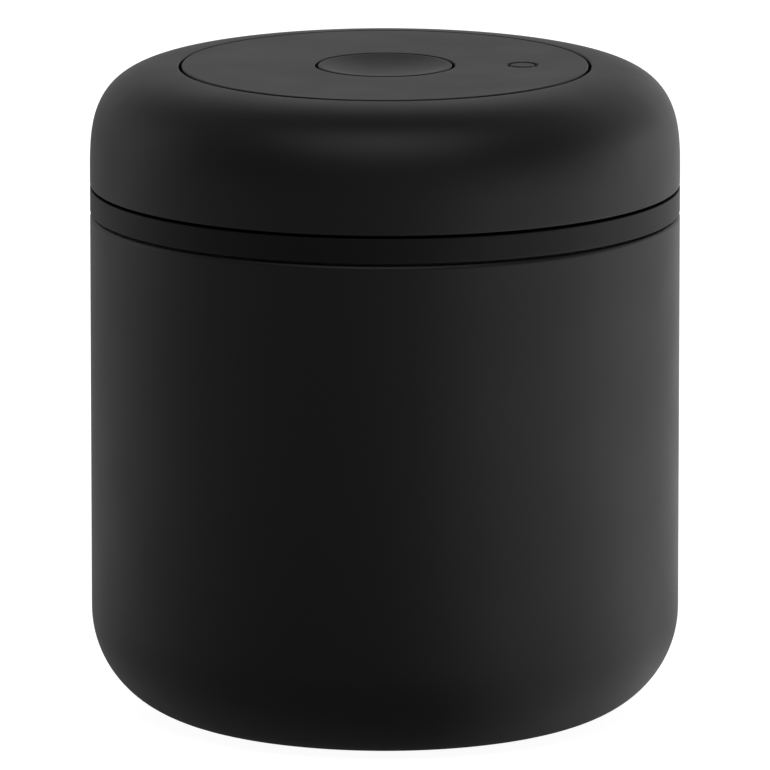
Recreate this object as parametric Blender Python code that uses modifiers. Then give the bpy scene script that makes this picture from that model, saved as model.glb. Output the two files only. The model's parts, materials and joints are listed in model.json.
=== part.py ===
"""Vacuum canister: a drawn steel can whose lid holds a twist-driven air pump.

Turning the cap raises and lowers an annular piston inside the lid. Three pins on the piston
ride in helical slots of a sleeve that turns with the cap, and in upright grooves of the lid,
so the piston only slides. A button on the axis opens the release valve, and a small pin in
the top disc drops when the can is under vacuum.

Metres, +Z up. The origin is the centre of the face that the can stands on.
"""

import math

import bmesh
import bpy
from mathutils import Matrix, Vector

# Outside sizes
OUTER_RADIUS = 0.059
TOTAL_HEIGHT = 0.1313
CAP_HEIGHT = 0.0238
COLLAR_HEIGHT = 0.0050

# Seams, seats and running clearances
CAP_SEAM = 0.0006
RIM_SEAM = 0.0004
DISC_SEAM = 0.0006
SEAT_GAP = 0.0003
RUNNING_GAP = 0.0005
OVERRUN = 0.0010
MERGE_DISTANCE = 0.000001

# Steel can
CAN_WALL = 0.0010
CAN_CORNER_RADIUS = 0.0213
STANDING_RING_WIDTH = 0.0047
BASE_RECESS_HEIGHT = 0.0012
BASE_RECESS_SLOPE = 0.0020

# Motions
TWIST_ANGLE = math.radians(70)
PISTON_STROKE = 0.0060
BUTTON_TRAVEL = 0.0020
INDICATOR_TRAVEL = 0.0020

# Rubber ring round the lid's plug
GASKET_CLEARANCE = 0.0004
GASKET_LIP = 0.0017
GASKET_BAND = 0.0014
GASKET_HEIGHT = 0.0117
GASKET_LIP_HEIGHT = 0.0030
GASKET_TIP_HEIGHT = 0.0006
GASKET_LIP_SHARES = (0.25, 0.75)

# Lid base: collar, plug and pump cylinder in one moulding
EDGE_CHAMFER = 0.0004
COLLAR_RIB_THICKNESS = 0.0013
COLLAR_RIB_HEIGHT = 0.0025
COLLAR_RIB_GAP = 0.0007
PLUG_WALL = 0.0040
PLUG_FLANGE_THICKNESS = 0.0018
PLUG_FLANGE_WIDTH = 0.0030
PLUG_TAPER = 0.0016
SKIRT_WALL = 0.0020
PLUG_CORNER = 0.0014
FLOOR_THICKNESS = 0.0020
CYLINDER_SHARE = 0.36441
CYLINDER_WALL = 0.0017
RECESS_STEP = 0.0021
RECESS_WALL = 0.0020
TUBE_RADIUS = 0.0055
TUBE_BORE = 0.0030

# Piston and its three followers
PIN_RADIUS = 0.0020
PIN_SHANK_RADIUS = 0.0012
PIN_SHANK_LENGTH = 0.0070
PIN_TOP_GAP = 0.0008
SLOT_CLEARANCE = 0.0003
GUIDE_DEPTH = 0.0022
GUIDE_TIP_GAP = 0.0004
ARM_HEIGHT = 0.0050
ARM_WIDTH = 0.0070
ARM_RIB_THICKNESS = 0.0016
ARM_RIB_HEIGHT = 0.0036
PISTON_LAND = 0.0008
PISTON_GROOVE_HEIGHT = 0.0018
PISTON_GROOVE_DEPTH = 0.0016
PISTON_SKIRT_GAP = 0.0004
PISTON_TOP_LAND = 0.0009
ARM_SOCKET_LENGTH = 0.0110
HUB_WALL = 0.0026
SEAL_RUNNING_GAP = 0.0002
ARM_AZIMUTHS = (math.radians(90), math.radians(210), math.radians(330))

# Cam sleeve that turns with the cap
SLEEVE_WALL = 0.0028
SLEEVE_FOOT = 0.0030
SLEEVE_TOP_BAND = 0.0020
SLEEVE_FLANGE_THICKNESS = 0.0034
GLIDE_THICKNESS = 0.0005
ARM_TIP_GAP = 0.0006

# Twist cap
CAP_WALL = 0.0021
SHOULDER_FLAT = 0.0037
CAP_SIDE_HEIGHT = 0.0022
SHOULDER_EXPONENT = 3.15
CAP_THROAT_WALL = 0.0018
CAP_LEDGE_THICKNESS = 0.0018
CAP_LEDGE_WIDTH = 0.0040
CAP_BOSS_RADIUS = 0.0021
CAP_SCREW_AZIMUTHS = tuple(math.radians(45 + 90 * i) for i in range(4))

# Top disc and the deck under it
DISC_SEAM_SHARE = 0.69322
DISC_THICKNESS = 0.0017
DECK_THICKNESS = 0.0020
DECK_RIM_GAP = 0.0004
CUP_WALL = 0.0016
CUP_DEPTH = 0.0123
CUP_FLOOR = 0.0015
STEM_HOLE_RADIUS = 0.0024
LEG_CLEARANCE = 0.0005
LEG_PLACE_SHARE = 0.9
LEG_RADIUS = 0.0044
LEG_BORE = 0.0031
LEG_END_WALL = 0.0025
POST_RADIUS = 0.0038
POST_TOP_GAP = 0.0029
LEG_AZIMUTHS = (math.radians(30), math.radians(150), math.radians(270))
CLIP_LEDGE_GAP = 0.0050
CLIP_WIDTH = 0.0034
CLIP_THICKNESS = 0.0012
CLIP_BARB = 0.0010
CLIP_SLOT_GAP = 0.0005

# Release button, its stem and valve
BUTTON_RADIUS = 0.0134
BUTTON_SEAM = 0.0006
BUTTON_DISH_DEPTH = 0.0019
BUTTON_RIM_WIDTH = 0.0006
BUTTON_SHELL = 0.0016
BUTTON_FLANGE_WIDTH = 0.0014
BUTTON_FLANGE_THICKNESS = 0.0014
BUTTON_BOSS_RADIUS = 0.0034
STEM_RADIUS = 0.0017
STEM_SOCKET_GAP = 0.0002
STEM_SOCKET_DEPTH = 0.0045
WASHER_RADIUS = 0.0044
WASHER_THICKNESS = 0.0008
POPPET_RADIUS = 0.0040
POPPET_THICKNESS = 0.0012
POPPET_FLOOR_GAP = 0.0004
BUTTON_SPRING_RADIUS = 0.0088
BUTTON_SPRING_WIRE = 0.00045
BUTTON_SPRING_TURNS = 4

# Vacuum indicator
INDICATOR_PLACE_SHARE = 0.2
INDICATOR_RADIUS = 0.00255
INDICATOR_SEAM = 0.0005
INDICATOR_GUIDE_GAP = 0.00035
INDICATOR_COLLAR_WIDTH = 0.0009
INDICATOR_COLLAR_THICKNESS = 0.0012
INDICATOR_ROD_RADIUS = 0.0015
INDICATOR_TUBE_WALL = 0.0013
INDICATOR_BORE = 0.0032
INDICATOR_PORT = 0.0012
INDICATOR_TUBE_DROP = 0.0028
INDICATOR_HEAD_GAP = 0.0003
INDICATOR_HEAD_DEPTH = 0.0012
INDICATOR_LAND = 0.0009
INDICATOR_GROOVE_HEIGHT = 0.0015
INDICATOR_GROOVE_DEPTH = 0.0010
INDICATOR_SPRING_RADIUS = 0.0022
INDICATOR_SPRING_WIRE = 0.00028
INDICATOR_SPRING_PRESSED = 0.0075
INDICATOR_SPRING_TURNS = 4

# Umbrella valves: one in the pump floor, one in the piston
VALVE_PLACE_SHARE = 0.397
VALVE_RADIUS = 0.0040
VALVE_THICKNESS = 0.0009
VALVE_CROWN_SHARE = 0.6
VALVE_STEM_RADIUS = 0.0009
VALVE_BULB_RADIUS = 0.0014
VALVE_BULB_HEIGHT = 0.0010
VALVE_POCKET_GAP = 0.0008
VALVE_POCKET_DEPTH = 0.0016
VALVE_SEAT_THICKNESS = 0.0019
BULB_POCKET_DEPTH = 0.0018
PORT_CIRCLE = 0.0029
PORT_RADIUS = 0.0006
PORTS_PER_VALVE = 4
INTAKE_AZIMUTH = math.radians(150)
EXHAUST_AZIMUTH = math.radians(30)

# Filter in the plug's underside
FILTER_COVER_GAP = 0.0004
FILTER_COVER_THICKNESS = 0.0014
FILTER_RING_WALL = 0.0015
FILTER_RING_GAP = 0.0004
FILTER_SLOTS = 16
FILTER_SLOT_WIDTH = 0.0014
FILTER_SLOT_INNER = 0.0085
FILTER_RIM_WIDTH = 0.0051
PAD_THICKNESS = 0.0008
PAD_INNER = 0.0070

# Screws
DECK_SCREW_HEAD = 0.0026
DECK_SCREW_HEAD_HEIGHT = 0.0020
DECK_SCREW_SHANK = 0.0013
DECK_SCREW_LENGTH = 0.0095
CAP_SCREW_HEAD = 0.0016
CAP_SCREW_HEAD_HEIGHT = 0.0014
CAP_SCREW_SHANK = 0.0009
CAP_SCREW_LENGTH = 0.0080
SCREW_HOLE_GAP = 0.0002

# Facets
OUTER_SEGMENTS = 36
INNER_SEGMENTS = 36
MEDIUM_SEGMENTS = 28
SMALL_SEGMENTS = 10
PORT_SEGMENTS = 6
SHOULDER_STEPS = 8
INNER_SHOULDER_STEPS = 5
CORNER_STEPS = 5
DISH_STEPS = 4
SLOT_STEPS = 7
SLOT_END_STEPS = 3
SLOT_END_SHARE = 0.995
COIL_POINTS_PER_TURN = 8
HIDDEN_COIL_SIDES = 4

# Levels of the outside, from the top down
CAP_BOTTOM = TOTAL_HEIGHT - CAP_HEIGHT
COLLAR_TOP = CAP_BOTTOM - CAP_SEAM
COLLAR_BOTTOM = COLLAR_TOP - COLLAR_HEIGHT
CAN_RIM = COLLAR_BOTTOM - RIM_SEAM

# Levels of the pump, worked down from the collar's top
PIN_LEVEL = COLLAR_TOP - PIN_TOP_GAP - PIN_RADIUS - PISTON_STROKE
ARM_BOTTOM = PIN_LEVEL - ARM_HEIGHT / 2
ARM_TOP = PIN_LEVEL + ARM_HEIGHT / 2
CYLINDER_TOP = ARM_BOTTOM - RUNNING_GAP
PISTON_GROOVE_TOP = CYLINDER_TOP - SEAT_GAP - PISTON_STROKE
PISTON_GROOVE_BOTTOM = PISTON_GROOVE_TOP - PISTON_GROOVE_HEIGHT
PISTON_BOTTOM = PISTON_GROOVE_BOTTOM - PISTON_LAND
PISTON_TOP = PISTON_GROOVE_TOP + PISTON_TOP_LAND
PUMP_FLOOR_TOP = PISTON_BOTTOM - RUNNING_GAP
PUMP_FLOOR_UNDER = PUMP_FLOOR_TOP - FLOOR_THICKNESS
TUBE_TOP = ARM_TOP + PISTON_STROKE + OVERRUN

# Levels of the release valve and the filter recess below the pump floor
WASHER_TOP = PUMP_FLOOR_UNDER - SEAT_GAP
POPPET_TOP = WASHER_TOP - WASHER_THICKNESS - SEAT_GAP
POPPET_BOTTOM = POPPET_TOP - POPPET_THICKNESS
FILTER_COVER_TOP = POPPET_BOTTOM - BUTTON_TRAVEL - POPPET_FLOOR_GAP
PLUG_BOTTOM = FILTER_COVER_TOP - FILTER_COVER_THICKNESS
PLUG_FLOOR_TOP = PLUG_BOTTOM + FLOOR_THICKNESS

# Radii of the lid, worked inwards from the can's wall
CAN_INNER = OUTER_RADIUS - CAN_WALL
GASKET_TIP = CAN_INNER - GASKET_CLEARANCE
GASKET_OUTER = GASKET_TIP - GASKET_LIP
GASKET_INNER = GASKET_OUTER - GASKET_BAND
PLUG_RADIUS = GASKET_INNER - SEAT_GAP
TUB_RADIUS = PLUG_RADIUS - PLUG_WALL
SLEEVE_OUTER = TUB_RADIUS - RUNNING_GAP
SLEEVE_INNER = SLEEVE_OUTER - SLEEVE_WALL
ARM_REACH = SLEEVE_INNER - ARM_TIP_GAP
GUIDE_RADIUS = TUB_RADIUS + GUIDE_DEPTH
PIN_TIP = GUIDE_RADIUS - GUIDE_TIP_GAP
CAP_INNER = OUTER_RADIUS - CAP_WALL
RIB_OUTER = CAP_INNER - COLLAR_RIB_GAP
RIB_INNER = RIB_OUTER - COLLAR_RIB_THICKNESS
SLEEVE_FLANGE = RIB_INNER - COLLAR_RIB_GAP
CAP_SCREW_CIRCLE = (SLEEVE_OUTER + SLEEVE_FLANGE) / 2
DISC_SEAM_RADIUS = OUTER_RADIUS * DISC_SEAM_SHARE
SHOULDER_CENTRE = DISC_SEAM_RADIUS - SHOULDER_FLAT
SHOULDER_WIDTH = OUTER_RADIUS - SHOULDER_CENTRE
SHOULDER_HEIGHT = CAP_HEIGHT - CAP_SIDE_HEIGHT
SHOULDER_BASE = TOTAL_HEIGHT - SHOULDER_HEIGHT
CYLINDER_RADIUS = OUTER_RADIUS * CYLINDER_SHARE
RECESS_RADIUS = CYLINDER_RADIUS + RECESS_STEP
FILTER_SLOT_OUTER = RECESS_RADIUS - FILTER_RIM_WIDTH
HUB_INNER = TUBE_RADIUS + PISTON_SKIRT_GAP
HUB_OUTER = HUB_INNER + HUB_WALL
PISTON_OUTER = CYLINDER_RADIUS - PISTON_SKIRT_GAP
VALVE_CIRCLE = HUB_OUTER + (PISTON_OUTER - HUB_OUTER) * VALVE_PLACE_SHARE

# Levels of the sleeve, the deck and the top disc
GLIDE_BOTTOM = COLLAR_TOP + SEAT_GAP
GLIDE_TOP = GLIDE_BOTTOM + GLIDE_THICKNESS
FLANGE_BOTTOM = GLIDE_TOP + SEAT_GAP
FLANGE_TOP = FLANGE_BOTTOM + SLEEVE_FLANGE_THICKNESS
CAP_SCREW_SEAT = FLANGE_BOTTOM + SEAT_GAP + CAP_SCREW_HEAD_HEIGHT
SLEEVE_TOP = FLANGE_TOP + SLEEVE_TOP_BAND
SLEEVE_BOTTOM = PIN_LEVEL - PIN_RADIUS - SLOT_CLEARANCE - SLEEVE_FOOT
DISC_BOTTOM = TOTAL_HEIGHT - DISC_THICKNESS
DECK_TOP = DISC_BOTTOM - SEAT_GAP
DECK_BOTTOM = DECK_TOP - DECK_THICKNESS
LEDGE_TOP = DECK_BOTTOM - DECK_RIM_GAP
LEDGE_BOTTOM = LEDGE_TOP - CAP_LEDGE_THICKNESS
POST_TOP = COLLAR_TOP - POST_TOP_GAP
LEG_BOTTOM = POST_TOP + SEAT_GAP
LEG_FLOOR = LEG_BOTTOM + LEG_END_WALL
CUP_TOP_FACE = DECK_TOP - CUP_DEPTH
DISH_FLOOR = TOTAL_HEIGHT - BUTTON_DISH_DEPTH
BUTTON_UNDER = DISH_FLOOR - BUTTON_SHELL
BUTTON_BOSS_BOTTOM = CUP_TOP_FACE + BUTTON_TRAVEL + SEAT_GAP

# Radii of the disc, the throat round it and the button's well
DISC_RADIUS = DISC_SEAM_RADIUS - DISC_SEAM / 2
THROAT_RADIUS = DISC_SEAM_RADIUS + DISC_SEAM / 2
BUTTON_HOLE = BUTTON_RADIUS + BUTTON_SEAM
BUTTON_FLANGE = BUTTON_RADIUS + BUTTON_FLANGE_WIDTH
CUP_RADIUS = BUTTON_FLANGE + SEAT_GAP
BUTTON_FLANGE_TOP = DISC_BOTTOM - SEAT_GAP
BUTTON_FLANGE_BOTTOM = BUTTON_FLANGE_TOP - BUTTON_FLANGE_THICKNESS
LEDGE_INNER = THROAT_RADIUS - CAP_LEDGE_WIDTH
CLIP_CIRCLE = LEDGE_INNER - CLIP_LEDGE_GAP - CLIP_BARB - CLIP_THICKNESS

# The legs and the indicator stand in the ring between the pump and the cap's ledge
LEG_CIRCLE_LEAST = RECESS_RADIUS + POST_RADIUS
LEG_CIRCLE_MOST = LEDGE_INNER - LEG_CLEARANCE - LEG_RADIUS
LEG_CIRCLE = LEG_CIRCLE_LEAST + (LEG_CIRCLE_MOST - LEG_CIRCLE_LEAST) * LEG_PLACE_SHARE
INDICATOR_LEAST = CYLINDER_RADIUS + INDICATOR_BORE + INDICATOR_TUBE_WALL
INDICATOR_MOST = LEDGE_INNER - LEG_CLEARANCE - INDICATOR_RADIUS - INDICATOR_COLLAR_WIDTH
INDICATOR_CIRCLE = INDICATOR_LEAST + (INDICATOR_MOST - INDICATOR_LEAST) * INDICATOR_PLACE_SHARE

INDICATOR_PLACE = Vector((INDICATOR_CIRCLE, 0, 0))
INDICATOR_TUBE_TOP = COLLAR_TOP - INDICATOR_TUBE_DROP
INDICATOR_HEAD_TOP = INDICATOR_TUBE_TOP - INDICATOR_HEAD_DEPTH
INDICATOR_GROOVE_TOP = INDICATOR_HEAD_TOP - INDICATOR_LAND
INDICATOR_GROOVE_BOTTOM = INDICATOR_GROOVE_TOP - INDICATOR_GROOVE_HEIGHT
INDICATOR_HEAD_BOTTOM = INDICATOR_GROOVE_BOTTOM - INDICATOR_LAND
INDICATOR_LEDGE = INDICATOR_HEAD_BOTTOM - INDICATOR_TRAVEL - INDICATOR_SPRING_PRESSED


# Collections and materials


def clear_scene():
    for obj in list(bpy.data.objects):
        bpy.data.objects.remove(obj)


def new_collection(name):
    collection = bpy.data.collections.new(name)
    bpy.context.scene.collection.children.link(collection)
    return collection


def new_material(name, colour, roughness, metallic=0.0):
    material = bpy.data.materials.new(name)
    material.use_nodes = True
    shader = material.node_tree.nodes["Principled BSDF"]
    shader.inputs["Base Color"].default_value = (*colour, 1.0)
    shader.inputs["Roughness"].default_value = roughness
    shader.inputs["Metallic"].default_value = metallic
    material.diffuse_color = (*colour, 1.0)
    return material


def around(radius, azimuth, height=0.0):
    """The point at that radius and azimuth about the canister's axis."""
    return Vector((radius * math.cos(azimuth), radius * math.sin(azimuth), height))


def place_object(name, mesh, material=None, location=(0, 0, 0), turn=0.0):
    """An object in the canister's collection, or among the cutters if it has no material."""
    obj = bpy.data.objects.new(name, mesh)
    obj.location = location
    obj.rotation_euler = (0, 0, turn)
    if material is None:
        cutters.objects.link(obj)
        obj.hide_render = True
        obj.display_type = "WIRE"
    else:
        mesh.materials.append(material)
        parts.objects.link(obj)
    return obj


# Outlines


def arc(centre, radius, start, end, steps):
    """Points (radius, height) along an arc, both ends included. Angles in degrees."""
    points = []
    for i in range(steps + 1):
        angle = math.radians(start + (end - start) * i / steps)
        points.append((centre[0] + radius * math.cos(angle), centre[1] + radius * math.sin(angle)))
    return points


def shoulder_height(radius, inset):
    """Height of the cap's shoulder at a radius, on the surface inset by a wall."""
    share = (radius - SHOULDER_CENTRE) / (SHOULDER_WIDTH - inset)
    rise = (1 - share**SHOULDER_EXPONENT) ** (1 / SHOULDER_EXPONENT)
    return SHOULDER_BASE + (SHOULDER_HEIGHT - inset) * rise


def shoulder(inner_radius, inset, steps):
    """Points down the cap's rounded-square shoulder, from inner_radius to its upright side."""
    width = SHOULDER_WIDTH - inset
    height = SHOULDER_HEIGHT - inset
    power = 2 / SHOULDER_EXPONENT
    first = math.acos(((inner_radius - SHOULDER_CENTRE) / width) ** (1 / power))
    points = []
    for i in range(steps + 1):
        angle = first * (1 - i / steps)
        radius = SHOULDER_CENTRE + width * math.cos(angle) ** power
        points.append((radius, SHOULDER_BASE + height * math.sin(angle) ** power))
    return points


# Solids


def lathe(name, outline, segments, material=None, closed=True, location=(0, 0, 0)):
    """A turned solid. The outline (radius, height) runs down its outer side.

    A closed outline makes a ring, and an open one starts and ends on the axis.
    """
    mesh = bpy.data.meshes.new(name)
    count = len(outline)
    edges = [(i, i + 1) for i in range(count - 1)]
    if closed:
        edges.append((count - 1, 0))
    mesh.from_pydata([(radius, 0, height) for radius, height in outline], edges, [])
    obj = place_object(name, mesh, material, location)
    turn = obj.modifiers.new("turn", "SCREW")
    turn.axis = "Z"
    turn.angle = 2 * math.pi
    turn.steps = segments
    turn.render_steps = segments
    turn.use_merge_vertices = True
    turn.merge_threshold = MERGE_DISTANCE
    turn.use_smooth_shade = True
    return obj


def cylinder(name, radius, bottom, top, place, segments=SMALL_SEGMENTS, material=None):
    """An upright cylinder, as a cutter or as a shape to join."""
    mesh = bpy.data.meshes.new(name)
    bm = bmesh.new()
    bmesh.ops.create_cone(
        bm,
        cap_ends=True,
        segments=segments,
        radius1=radius,
        radius2=radius,
        depth=top - bottom,
    )
    bm.to_mesh(mesh)
    bm.free()
    middle = Vector((place[0], place[1], (bottom + top) / 2))
    return place_object(name, mesh, material, middle)


def block(name, low, high, azimuth=0.0, material=None):
    """A box from one corner to the other, turned about the canister's axis."""
    size = Vector(high) - Vector(low)
    middle = (Vector(high) + Vector(low)) / 2
    mesh = bpy.data.meshes.new(name)
    bm = bmesh.new()
    bmesh.ops.create_cube(bm, size=1.0)
    bmesh.ops.scale(bm, vec=size, verts=bm.verts)
    bmesh.ops.translate(bm, vec=middle, verts=bm.verts)
    bm.to_mesh(mesh)
    bm.free()
    return place_object(name, mesh, material, turn=azimuth)


def combine(obj, other, operation):
    boolean = obj.modifiers.new(other.name, "BOOLEAN")
    boolean.operation = operation
    boolean.solver = "EXACT"
    boolean.object = other


def cut(obj, *others):
    for other in others:
        combine(obj, other, "DIFFERENCE")


def join(obj, *others):
    for other in others:
        combine(obj, other, "UNION")


def coil(name, radius, wire, bottom, top, turns, material, location=(0, 0, 0)):
    """A compression spring whose wire lies between the two heights."""
    count = round(turns * COIL_POINTS_PER_TURN) + 1
    curve = bpy.data.curves.new(name, "CURVE")
    curve.dimensions = "3D"
    curve.bevel_depth = wire
    curve.bevel_resolution = (HIDDEN_COIL_SIDES - 4) // 2
    curve.use_fill_caps = True
    spline = curve.splines.new("POLY")
    spline.points.add(count - 1)
    for i, point in enumerate(spline.points):
        share = i / (count - 1)
        height = bottom + wire + (top - bottom - 2 * wire) * share
        point.co = (*around(radius, 2 * math.pi * turns * share, height), 1)
    obj = bpy.data.objects.new(name, curve)
    obj.location = location
    curve.materials.append(material)
    parts.objects.link(obj)
    return obj


# The can


def make_can(steel):
    """Drawn can: rounded rim, straight wall, large base corner and a raised base panel."""
    corner = (OUTER_RADIUS - CAN_CORNER_RADIUS, CAN_CORNER_RADIUS)
    rim_centre = (OUTER_RADIUS - CAN_WALL / 2, CAN_RIM - CAN_WALL / 2)
    ring_inner = corner[0] - STANDING_RING_WIDTH
    panel_radius = ring_inner - BASE_RECESS_SLOPE
    outline = arc(rim_centre, CAN_WALL / 2, 90, 0, 2)
    outline += arc(corner, CAN_CORNER_RADIUS, 0, -90, CORNER_STEPS)
    outline.append((ring_inner, 0))
    outline.append((panel_radius, BASE_RECESS_HEIGHT))
    outline.append((0, BASE_RECESS_HEIGHT))
    outline.append((0, BASE_RECESS_HEIGHT + CAN_WALL))
    outline.append((panel_radius, BASE_RECESS_HEIGHT + CAN_WALL))
    outline.append((ring_inner, CAN_WALL))
    outline += arc(corner, CAN_CORNER_RADIUS - CAN_WALL, -90, 0, CORNER_STEPS)
    outline.append((CAN_INNER, rim_centre[1]))
    outline.append(arc(rim_centre, CAN_WALL / 2, 180, 135, 1)[1])
    # The axis edge closes the loop through the panel's thickness, so the profile is opened there.
    start = outline.index((0, BASE_RECESS_HEIGHT + CAN_WALL))
    profile = outline[start:] + outline[:start]
    return lathe("canister_body", profile, OUTER_SEGMENTS, steel, closed=False)


# The lid's fixed pieces


def lid_base_outline():
    """Collar, plug wall, floor, filter recess, valve tube and pump cylinder, as one ring."""
    flange_radius = PLUG_RADIUS + PLUG_FLANGE_WIDTH
    groove_bottom = COLLAR_BOTTOM - GASKET_HEIGHT - 2 * SEAT_GAP
    flange_bottom = groove_bottom - PLUG_FLANGE_THICKNESS
    skirt_radius = flange_radius - PLUG_TAPER
    return [
        (RIB_OUTER, COLLAR_TOP + COLLAR_RIB_HEIGHT),
        (RIB_OUTER, COLLAR_TOP),
        (OUTER_RADIUS - EDGE_CHAMFER, COLLAR_TOP),
        (OUTER_RADIUS, COLLAR_TOP - EDGE_CHAMFER),
        (OUTER_RADIUS, COLLAR_BOTTOM + EDGE_CHAMFER),
        (OUTER_RADIUS - EDGE_CHAMFER, COLLAR_BOTTOM),
        (PLUG_RADIUS, COLLAR_BOTTOM),
        (PLUG_RADIUS, groove_bottom),
        (flange_radius, groove_bottom),
        (flange_radius, flange_bottom),
        (skirt_radius, flange_bottom - PLUG_TAPER),
        (skirt_radius, PLUG_BOTTOM + PLUG_CORNER),
        (skirt_radius - PLUG_CORNER, PLUG_BOTTOM),
        (RECESS_RADIUS, PLUG_BOTTOM),
        (RECESS_RADIUS, PUMP_FLOOR_UNDER),
        (TUBE_BORE, PUMP_FLOOR_UNDER),
        (TUBE_BORE, TUBE_TOP),
        (TUBE_RADIUS, TUBE_TOP),
        (TUBE_RADIUS, PUMP_FLOOR_TOP),
        (CYLINDER_RADIUS, PUMP_FLOOR_TOP),
        (CYLINDER_RADIUS, CYLINDER_TOP),
        (CYLINDER_RADIUS + CYLINDER_WALL, CYLINDER_TOP),
        (CYLINDER_RADIUS + CYLINDER_WALL, PUMP_FLOOR_TOP),
        (RECESS_RADIUS + RECESS_WALL, PUMP_FLOOR_TOP),
        (RECESS_RADIUS + RECESS_WALL, PLUG_FLOOR_TOP),
        (skirt_radius - SKIRT_WALL, PLUG_FLOOR_TOP),
        (skirt_radius - SKIRT_WALL, flange_bottom),
        (TUB_RADIUS, groove_bottom),
        (TUB_RADIUS, COLLAR_TOP),
        (RIB_INNER, COLLAR_TOP),
        (RIB_INNER, COLLAR_TOP + COLLAR_RIB_HEIGHT),
    ]


def port_cutters(name, centre, bottom, top):
    """The ring of small air holes under an umbrella valve, and the hole for its stem."""
    stem_hole = VALVE_STEM_RADIUS + SCREW_HOLE_GAP
    made = [cylinder(f"{name}_stem_hole", stem_hole, bottom, top, centre)]
    for i in range(PORTS_PER_VALVE):
        place = centre + around(PORT_CIRCLE, 2 * math.pi * (i + 0.5) / PORTS_PER_VALVE)
        made.append(cylinder(f"{name}_port_{i + 1}", PORT_RADIUS, bottom, top, place, PORT_SEGMENTS))
    return made


def make_lid_base(plastic):
    base = lathe("lid_base", lid_base_outline(), OUTER_SEGMENTS, plastic)
    buried = PLUG_FLOOR_TOP - FLOOR_THICKNESS / 2
    for i, azimuth in enumerate(LEG_AZIMUTHS):
        place = around(LEG_CIRCLE, azimuth)
        join(base, cylinder(f"post_{i + 1}", POST_RADIUS, buried, POST_TOP, place))
        pilot = DECK_SCREW_SHANK + SCREW_HOLE_GAP
        depth = DECK_SCREW_LENGTH + OVERRUN
        cut(base, cylinder(f"pilot_{i + 1}", pilot, POST_TOP - depth, POST_TOP + OVERRUN, place))
    narrow = INDICATOR_PORT + INDICATOR_TUBE_WALL
    wide = INDICATOR_BORE + INDICATOR_TUBE_WALL
    step = INDICATOR_LEDGE - INDICATOR_TUBE_WALL
    join(base, cylinder("indicator_neck", narrow, buried, INDICATOR_LEDGE, INDICATOR_PLACE))
    join(base, cylinder("indicator_tube", wide, step, INDICATOR_TUBE_TOP, INDICATOR_PLACE))
    tube_end = INDICATOR_TUBE_TOP + OVERRUN
    cut(base, cylinder("indicator_bore", INDICATOR_BORE, INDICATOR_LEDGE, tube_end, INDICATOR_PLACE))
    port_end = PLUG_BOTTOM - OVERRUN
    port = cylinder("indicator_port", INDICATOR_PORT, port_end, tube_end, INDICATOR_PLACE, PORT_SEGMENTS)
    cut(base, port)
    valve_place = around(VALVE_CIRCLE, INTAKE_AZIMUTH)
    pocket_floor = PUMP_FLOOR_TOP - VALVE_POCKET_DEPTH
    seat_under = pocket_floor - VALVE_SEAT_THICKNESS
    pocket_radius = VALVE_RADIUS + VALVE_POCKET_GAP
    seat_radius = pocket_radius + VALVE_POCKET_GAP
    buried = PUMP_FLOOR_TOP - FLOOR_THICKNESS / 2
    join(base, cylinder("intake_seat", seat_radius, seat_under, buried, valve_place))
    above = PUMP_FLOOR_TOP + OVERRUN / 2
    cut(base, cylinder("intake_pocket", pocket_radius, pocket_floor, above, valve_place))
    cut(base, *port_cutters("intake", valve_place, seat_under - OVERRUN, above))
    half_width = PIN_RADIUS + SLOT_CLEARANCE
    for i, azimuth in enumerate(ARM_AZIMUTHS):
        low = (TUB_RADIUS - OVERRUN, -half_width, PIN_LEVEL - half_width)
        high = (GUIDE_RADIUS, half_width, COLLAR_TOP + OVERRUN)
        cut(base, block(f"guide_groove_{i + 1}", low, high, azimuth))
    return base


def make_gasket(rubber):
    """Rubber ring with two lips that seal on the can's wall."""
    top = COLLAR_BOTTOM - SEAT_GAP
    bottom = top - GASKET_HEIGHT
    outline = [(GASKET_OUTER, top)]
    for share in GASKET_LIP_SHARES:
        middle = top - GASKET_HEIGHT * share
        outline += [
            (GASKET_OUTER, middle + GASKET_LIP_HEIGHT / 2),
            (GASKET_TIP, middle + GASKET_TIP_HEIGHT / 2),
            (GASKET_TIP, middle - GASKET_TIP_HEIGHT / 2),
            (GASKET_OUTER, middle - GASKET_LIP_HEIGHT / 2),
        ]
    outline += [(GASKET_OUTER, bottom), (GASKET_INNER, bottom), (GASKET_INNER, top)]
    return lathe("lid_gasket", outline, INNER_SEGMENTS, rubber)


def ring(name, inner, outer, bottom, top, segments, material, location=(0, 0, 0)):
    outline = [(outer, top), (outer, bottom), (inner, bottom), (inner, top)]
    return lathe(name, outline, segments, material, location=location)


def make_glide_ring(acetal):
    inner = TUB_RADIUS + RUNNING_GAP
    ring("glide_ring", inner, SLEEVE_FLANGE, GLIDE_BOTTOM, GLIDE_TOP, INNER_SEGMENTS, acetal)


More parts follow.
